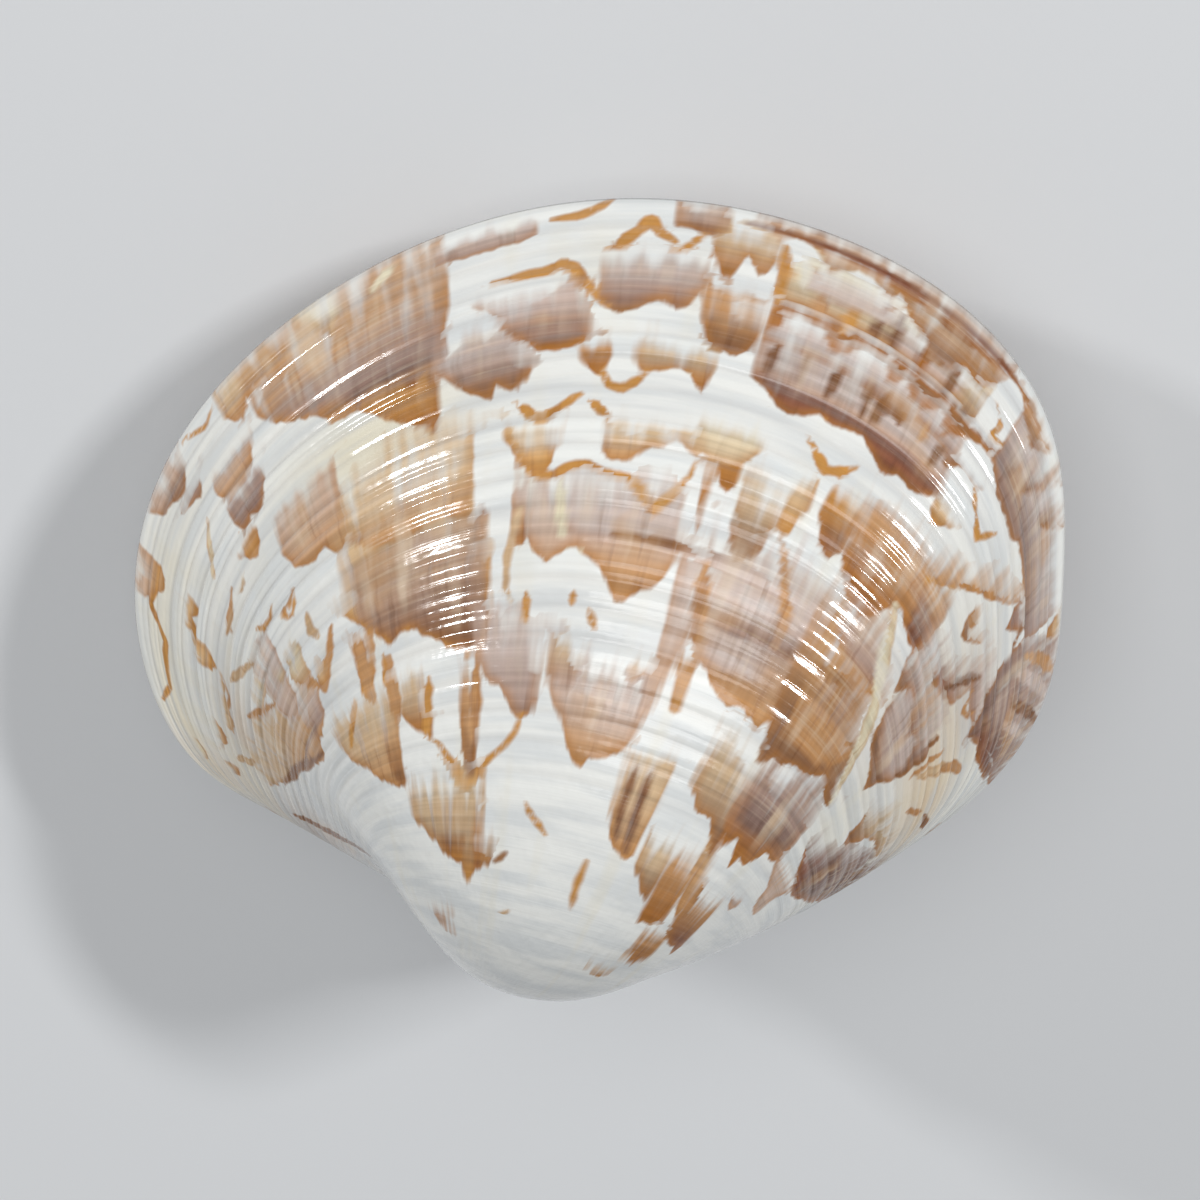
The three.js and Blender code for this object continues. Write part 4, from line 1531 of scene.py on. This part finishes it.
    def _close(self, mesh: bpy.types.Mesh) -> None:
        """Welds the seam and the poles, and cuts the worn flat into the valve that the shell lies on.

        Args:
            mesh: The valve's mesh.
        """
        solid = bmesh.new()
        solid.from_mesh(mesh)
        bmesh.ops.remove_doubles(solid, verts=solid.verts, dist=WELD)
        if self.side is Side.LEFT:
            cut = bmesh.ops.bisect_plane(
                solid, geom=[*solid.verts, *solid.edges, *solid.faces], dist=self.cut_reach,
                plane_co=(0, 0, 0), plane_no=(0, 0, -1), clear_outer=True,
            )
            rim = [part for part in cut["geom_cut"] if isinstance(part, bmesh.types.BMEdge)]
            bmesh.ops.edgeloop_fill(solid, edges=rim)
        bmesh.ops.recalc_face_normals(solid, faces=solid.faces)
        solid.to_mesh(mesh)
        solid.free()


@dataclass
class Ligament:
    """The dark spindle behind the beaks that joins the valves."""

    lying: Lying
    length: float = 6.8
    middle: tuple[float, float] = (7.9, 0.72)
    half_width: float = 0.5
    half_depth: float = 0.5
    lean: float = 13.0
    bulk_power: float = 0.7
    ridge: float = 0.045
    ridges: int = 11
    ridge_sway: float = 2.0
    ridge_sways: float = 3.0
    wrinkle: float = 0.0225
    wrinkles: float = 23.0
    wrinkle_lean: float = 2.0
    around: int = 56
    stations: int = 90

    def build(self) -> bpy.types.Object:
        """Builds the spindle with its fibres, from a ball drawn out along the hinge.

        Returns:
            The object, at the origin with its place in its mesh.
        """
        ball = bmesh.new()
        bmesh.ops.create_uvsphere(ball, u_segments=self.around, v_segments=self.stations, radius=1.0)
        fibres = ball.loops.layers.uv.new("fibres")
        for face in ball.faces:
            for loop in face.loops:
                angle = math.atan2(loop.vert.co.y, loop.vert.co.x)
                loop[fibres].uv = (abs(angle) / math.pi, loop.vert.co.z)
        place = Matrix.Translation((*self.middle, 0.0)) @ Matrix.Rotation(math.radians(self.lean), 4, "Z")
        for vert in ball.verts:
            x, y, z = vert.co
            ring = math.hypot(x, y)
            if ring < WELD:
                vert.co = place @ Vector((z * self.length / 2, 0.0, 0.0))
                continue
            angle = math.atan2(y, x)
            bulk = ring**self.bulk_power
            sway = self.ridge_sway * math.sin(self.ridge_sways * z)
            wave = 1.0 - self.ridge * (1.0 + math.sin(self.ridges * angle + sway))
            wave -= self.wrinkle * (1.0 + math.sin(self.wrinkles * z + self.wrinkle_lean * angle))
            vert.co = place @ Vector((
                z * self.length / 2,
                self.half_depth * bulk * wave * math.sin(angle),
                self.half_width * bulk * wave * math.cos(angle),
            ))
        mesh = bpy.data.meshes.new("ligament_fibres")
        bmesh.ops.recalc_face_normals(ball, faces=ball.faces)
        ball.to_mesh(mesh)
        ball.free()
        mesh.transform(Matrix.Scale(MM, 4) @ self.lying.matrix())
        mesh.shade_smooth()
        piece = bpy.data.objects.new("ligament_fibres", mesh)
        bpy.context.scene.collection.objects.link(piece)
        return piece


@dataclass(frozen=True)
class Lamp:
    """One soft lamp, by where it stands and how large and strong it is."""

    name: str
    heading: float
    elevation: float
    distance: float
    size: tuple[float, float]
    power: float
    colour: tuple[float, float, float] = (1.0, 1.0, 1.0)

    def place(self, target: Vector) -> None:
        """Adds the lamp, facing the target.

        Args:
            target: What it shines on, in metres.
        """
        turn, rise = math.radians(self.heading), math.radians(self.elevation)
        away = Vector((math.cos(turn) * math.cos(rise), math.sin(turn) * math.cos(rise), math.sin(rise)))
        light = bpy.data.lights.new(self.name, "AREA")
        light.shape = "RECTANGLE"
        light.size, light.size_y = self.size
        light.energy = self.power
        light.color = self.colour
        lamp = bpy.data.objects.new(self.name, light)
        lamp.location = target + away * self.distance
        lamp.rotation_euler = away.to_track_quat("Z", "Y").to_euler()
        bpy.context.scene.collection.objects.link(lamp)


@dataclass(frozen=True)
class Studio:
    """The pale floor, the soft light and the camera at the photograph's viewing angle."""

    floor_size: float = 3.0
    floor: tuple[int, int, int] = (214, 216, 218)
    floor_roughness: float = 0.8
    sky: float = 0.25
    sky_colour: tuple[float, float, float, float] = (0.97, 0.98, 1.0, 1.0)
    aim: tuple[float, float, float] = (0.00048, 0.00118, 0.012)
    view_azimuth: float = 177.18
    view_elevation: float = 67.15
    view_roll: float = -164.07
    view_distance: float = 0.16678
    frame_width: float = 0.04645
    frame_distance: float = 0.17
    sensor: float = 36.0
    nearest: float = 0.005
    lamps: tuple[Lamp, ...] = (
        Lamp("left_lamp", 158.0, 27.0, 0.6, (0.07, 0.02), 1.05),
        Lamp("right_lamp", 47.0, 40.0, 0.6, (0.11, 0.035), 1.7),
        Lamp("overhead", 110.0, 68.0, 0.8, (0.5, 0.5), 1.9),
    )

    def build(self) -> None:
        """Sets the floor, the light and the camera."""
        self._lay_floor()
        self._light()
        self._stand_camera()

    def _lay_floor(self) -> None:
        """Lays the pale floor under the shell."""
        sheet = bmesh.new()
        bmesh.ops.create_grid(sheet, x_segments=1, y_segments=1, size=self.floor_size / 2)
        mesh = bpy.data.meshes.new("floor")
        sheet.to_mesh(mesh)
        sheet.free()
        material = bpy.data.materials.new("pale_floor")
        material.use_nodes = True
        shader = material.node_tree.nodes["Principled BSDF"]
        shader.inputs["Base Color"].default_value = rgba(self.floor)
        shader.inputs["Roughness"].default_value = self.floor_roughness
        mesh.materials.append(material)
        floor = bpy.data.objects.new("floor", mesh)
        bpy.context.scene.collection.objects.link(floor)

    def _light(self) -> None:
        """Adds the soft sky and the lamps."""
        world = bpy.data.worlds.new("soft_sky")
        world.use_nodes = True
        background = world.node_tree.nodes["Background"]
        background.inputs["Color"].default_value = self.sky_colour
        background.inputs["Strength"].default_value = self.sky
        bpy.context.scene.world = world
        bpy.context.scene.view_settings.view_transform = "Standard"
        for lamp in self.lamps:
            lamp.place(Vector(self.aim))

    def _stand_camera(self) -> None:
        """Stands the camera at the photograph's viewing angle."""
        turn, rise = math.radians(self.view_azimuth), math.radians(self.view_elevation)
        back = Vector((math.sin(turn) * math.cos(rise), -math.cos(turn) * math.cos(rise), math.sin(rise)))
        right = Vector((0.0, 0.0, 1.0)).cross(back).normalized()
        up = back.cross(right)
        level = Matrix((right, up, back)).transposed()
        lens = bpy.data.cameras.new("camera")
        lens.sensor_width = self.sensor
        lens.lens = self.sensor * self.frame_distance / self.frame_width
        lens.clip_start = self.nearest
        camera = bpy.data.objects.new("camera", lens)
        turned = level @ Matrix.Rotation(math.radians(self.view_roll), 3, "Z")
        stand = Vector(self.aim) + back * self.view_distance
        camera.matrix_world = Matrix.Translation(stand) @ turned.to_4x4()
        bpy.context.scene.collection.objects.link(camera)
        bpy.context.scene.camera = camera


@dataclass(frozen=True)
class Wander:
    """Moves marks a little, so that the left valve isn't an exact mirror image."""

    reach_u: float = 9.0
    reach_size: float = 16.0
    waves: tuple[float, float, float] = (61.0, 37.0, 29.0)
    phase: float = 1.3
    margin: int = 960

    def moved(self, pairs: tuple[int, ...]) -> tuple[int, ...]:
        """Moves points, those near the margin only along it.

        Args:
            pairs: U and size of each, in thousandths.

        Returns:
            The same, moved.
        """
        points = np.array(pairs, float).reshape(-1, 2)
        u, size = points[:, 0].copy(), points[:, 1].copy()
        points[:, 0] += self.reach_u * np.sin(size / self.waves[0] + u / self.waves[1])
        points[:, 1] += self.reach_size * np.sin(u / self.waves[2] + self.phase) * (size < self.margin)
        return tuple(int(round(v)) for v in points.ravel())

    def apply(self, marks: tuple[Mark | Stroke, ...]) -> list[Mark | Stroke]:
        """Moves every mark.

        Args:
            marks: The marks and strokes of the right valve.

        Returns:
            Those of the left valve.
        """
        made = []
        for mark in marks:
            if isinstance(mark, Stroke):
                made.append(Stroke(mark.tone, mark.width, self.moved(mark.path)))
            else:
                top = mark.top + int(self.reach_size / 2) if 0 < mark.top < self.margin else mark.top
                made.append(Mark(mark.tone, mark.upper, top, mark.fade, self.moved(mark.outline)))
        return made


def dress(piece: bpy.types.Object, material: bpy.types.Material, node: str) -> None:
    """Finishes a piece and puts it in the place of its solid.

    Args:
        piece: The piece.
        material: Its finish.
        node: The solid that it replaces.
    """
    piece.data.materials.append(material)
    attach(piece, BODY)
    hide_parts(node)
    log.info("%s: %d faces", piece.name, len(piece.data.polygons))


def main() -> None:
    """Builds the shell and its studio."""
    logging.basicConfig(level=logging.INFO)
    Studio().build()
    growth, lying, ribs = Growth(), Lying(), Ribs()
    streaks = growth_streaks()
    glaze = ShellGlaze().material(streaks)
    for name, side, node, seed, marks in (
        ("right_shell", Side.RIGHT, "right_valve", RIGHT_SEED, MARKS),
        ("left_shell", Side.LEFT, "left_valve", LEFT_SEED, Wander().apply(MARKS)),
    ):
        hidden = [*TentScatter(seed, *FRONT_TENTS).marks(), *TentScatter(seed + 1, *HIND_TENTS).marks()]
        valve = Valve(name, side, growth, lying, ribs, [*hidden, *marks])
        dress(valve.build(), glaze, node)
    dress(Ligament(lying).build(), DryLigament().material(streaks), "ligament")


if __name__ == "__main__":
    main()
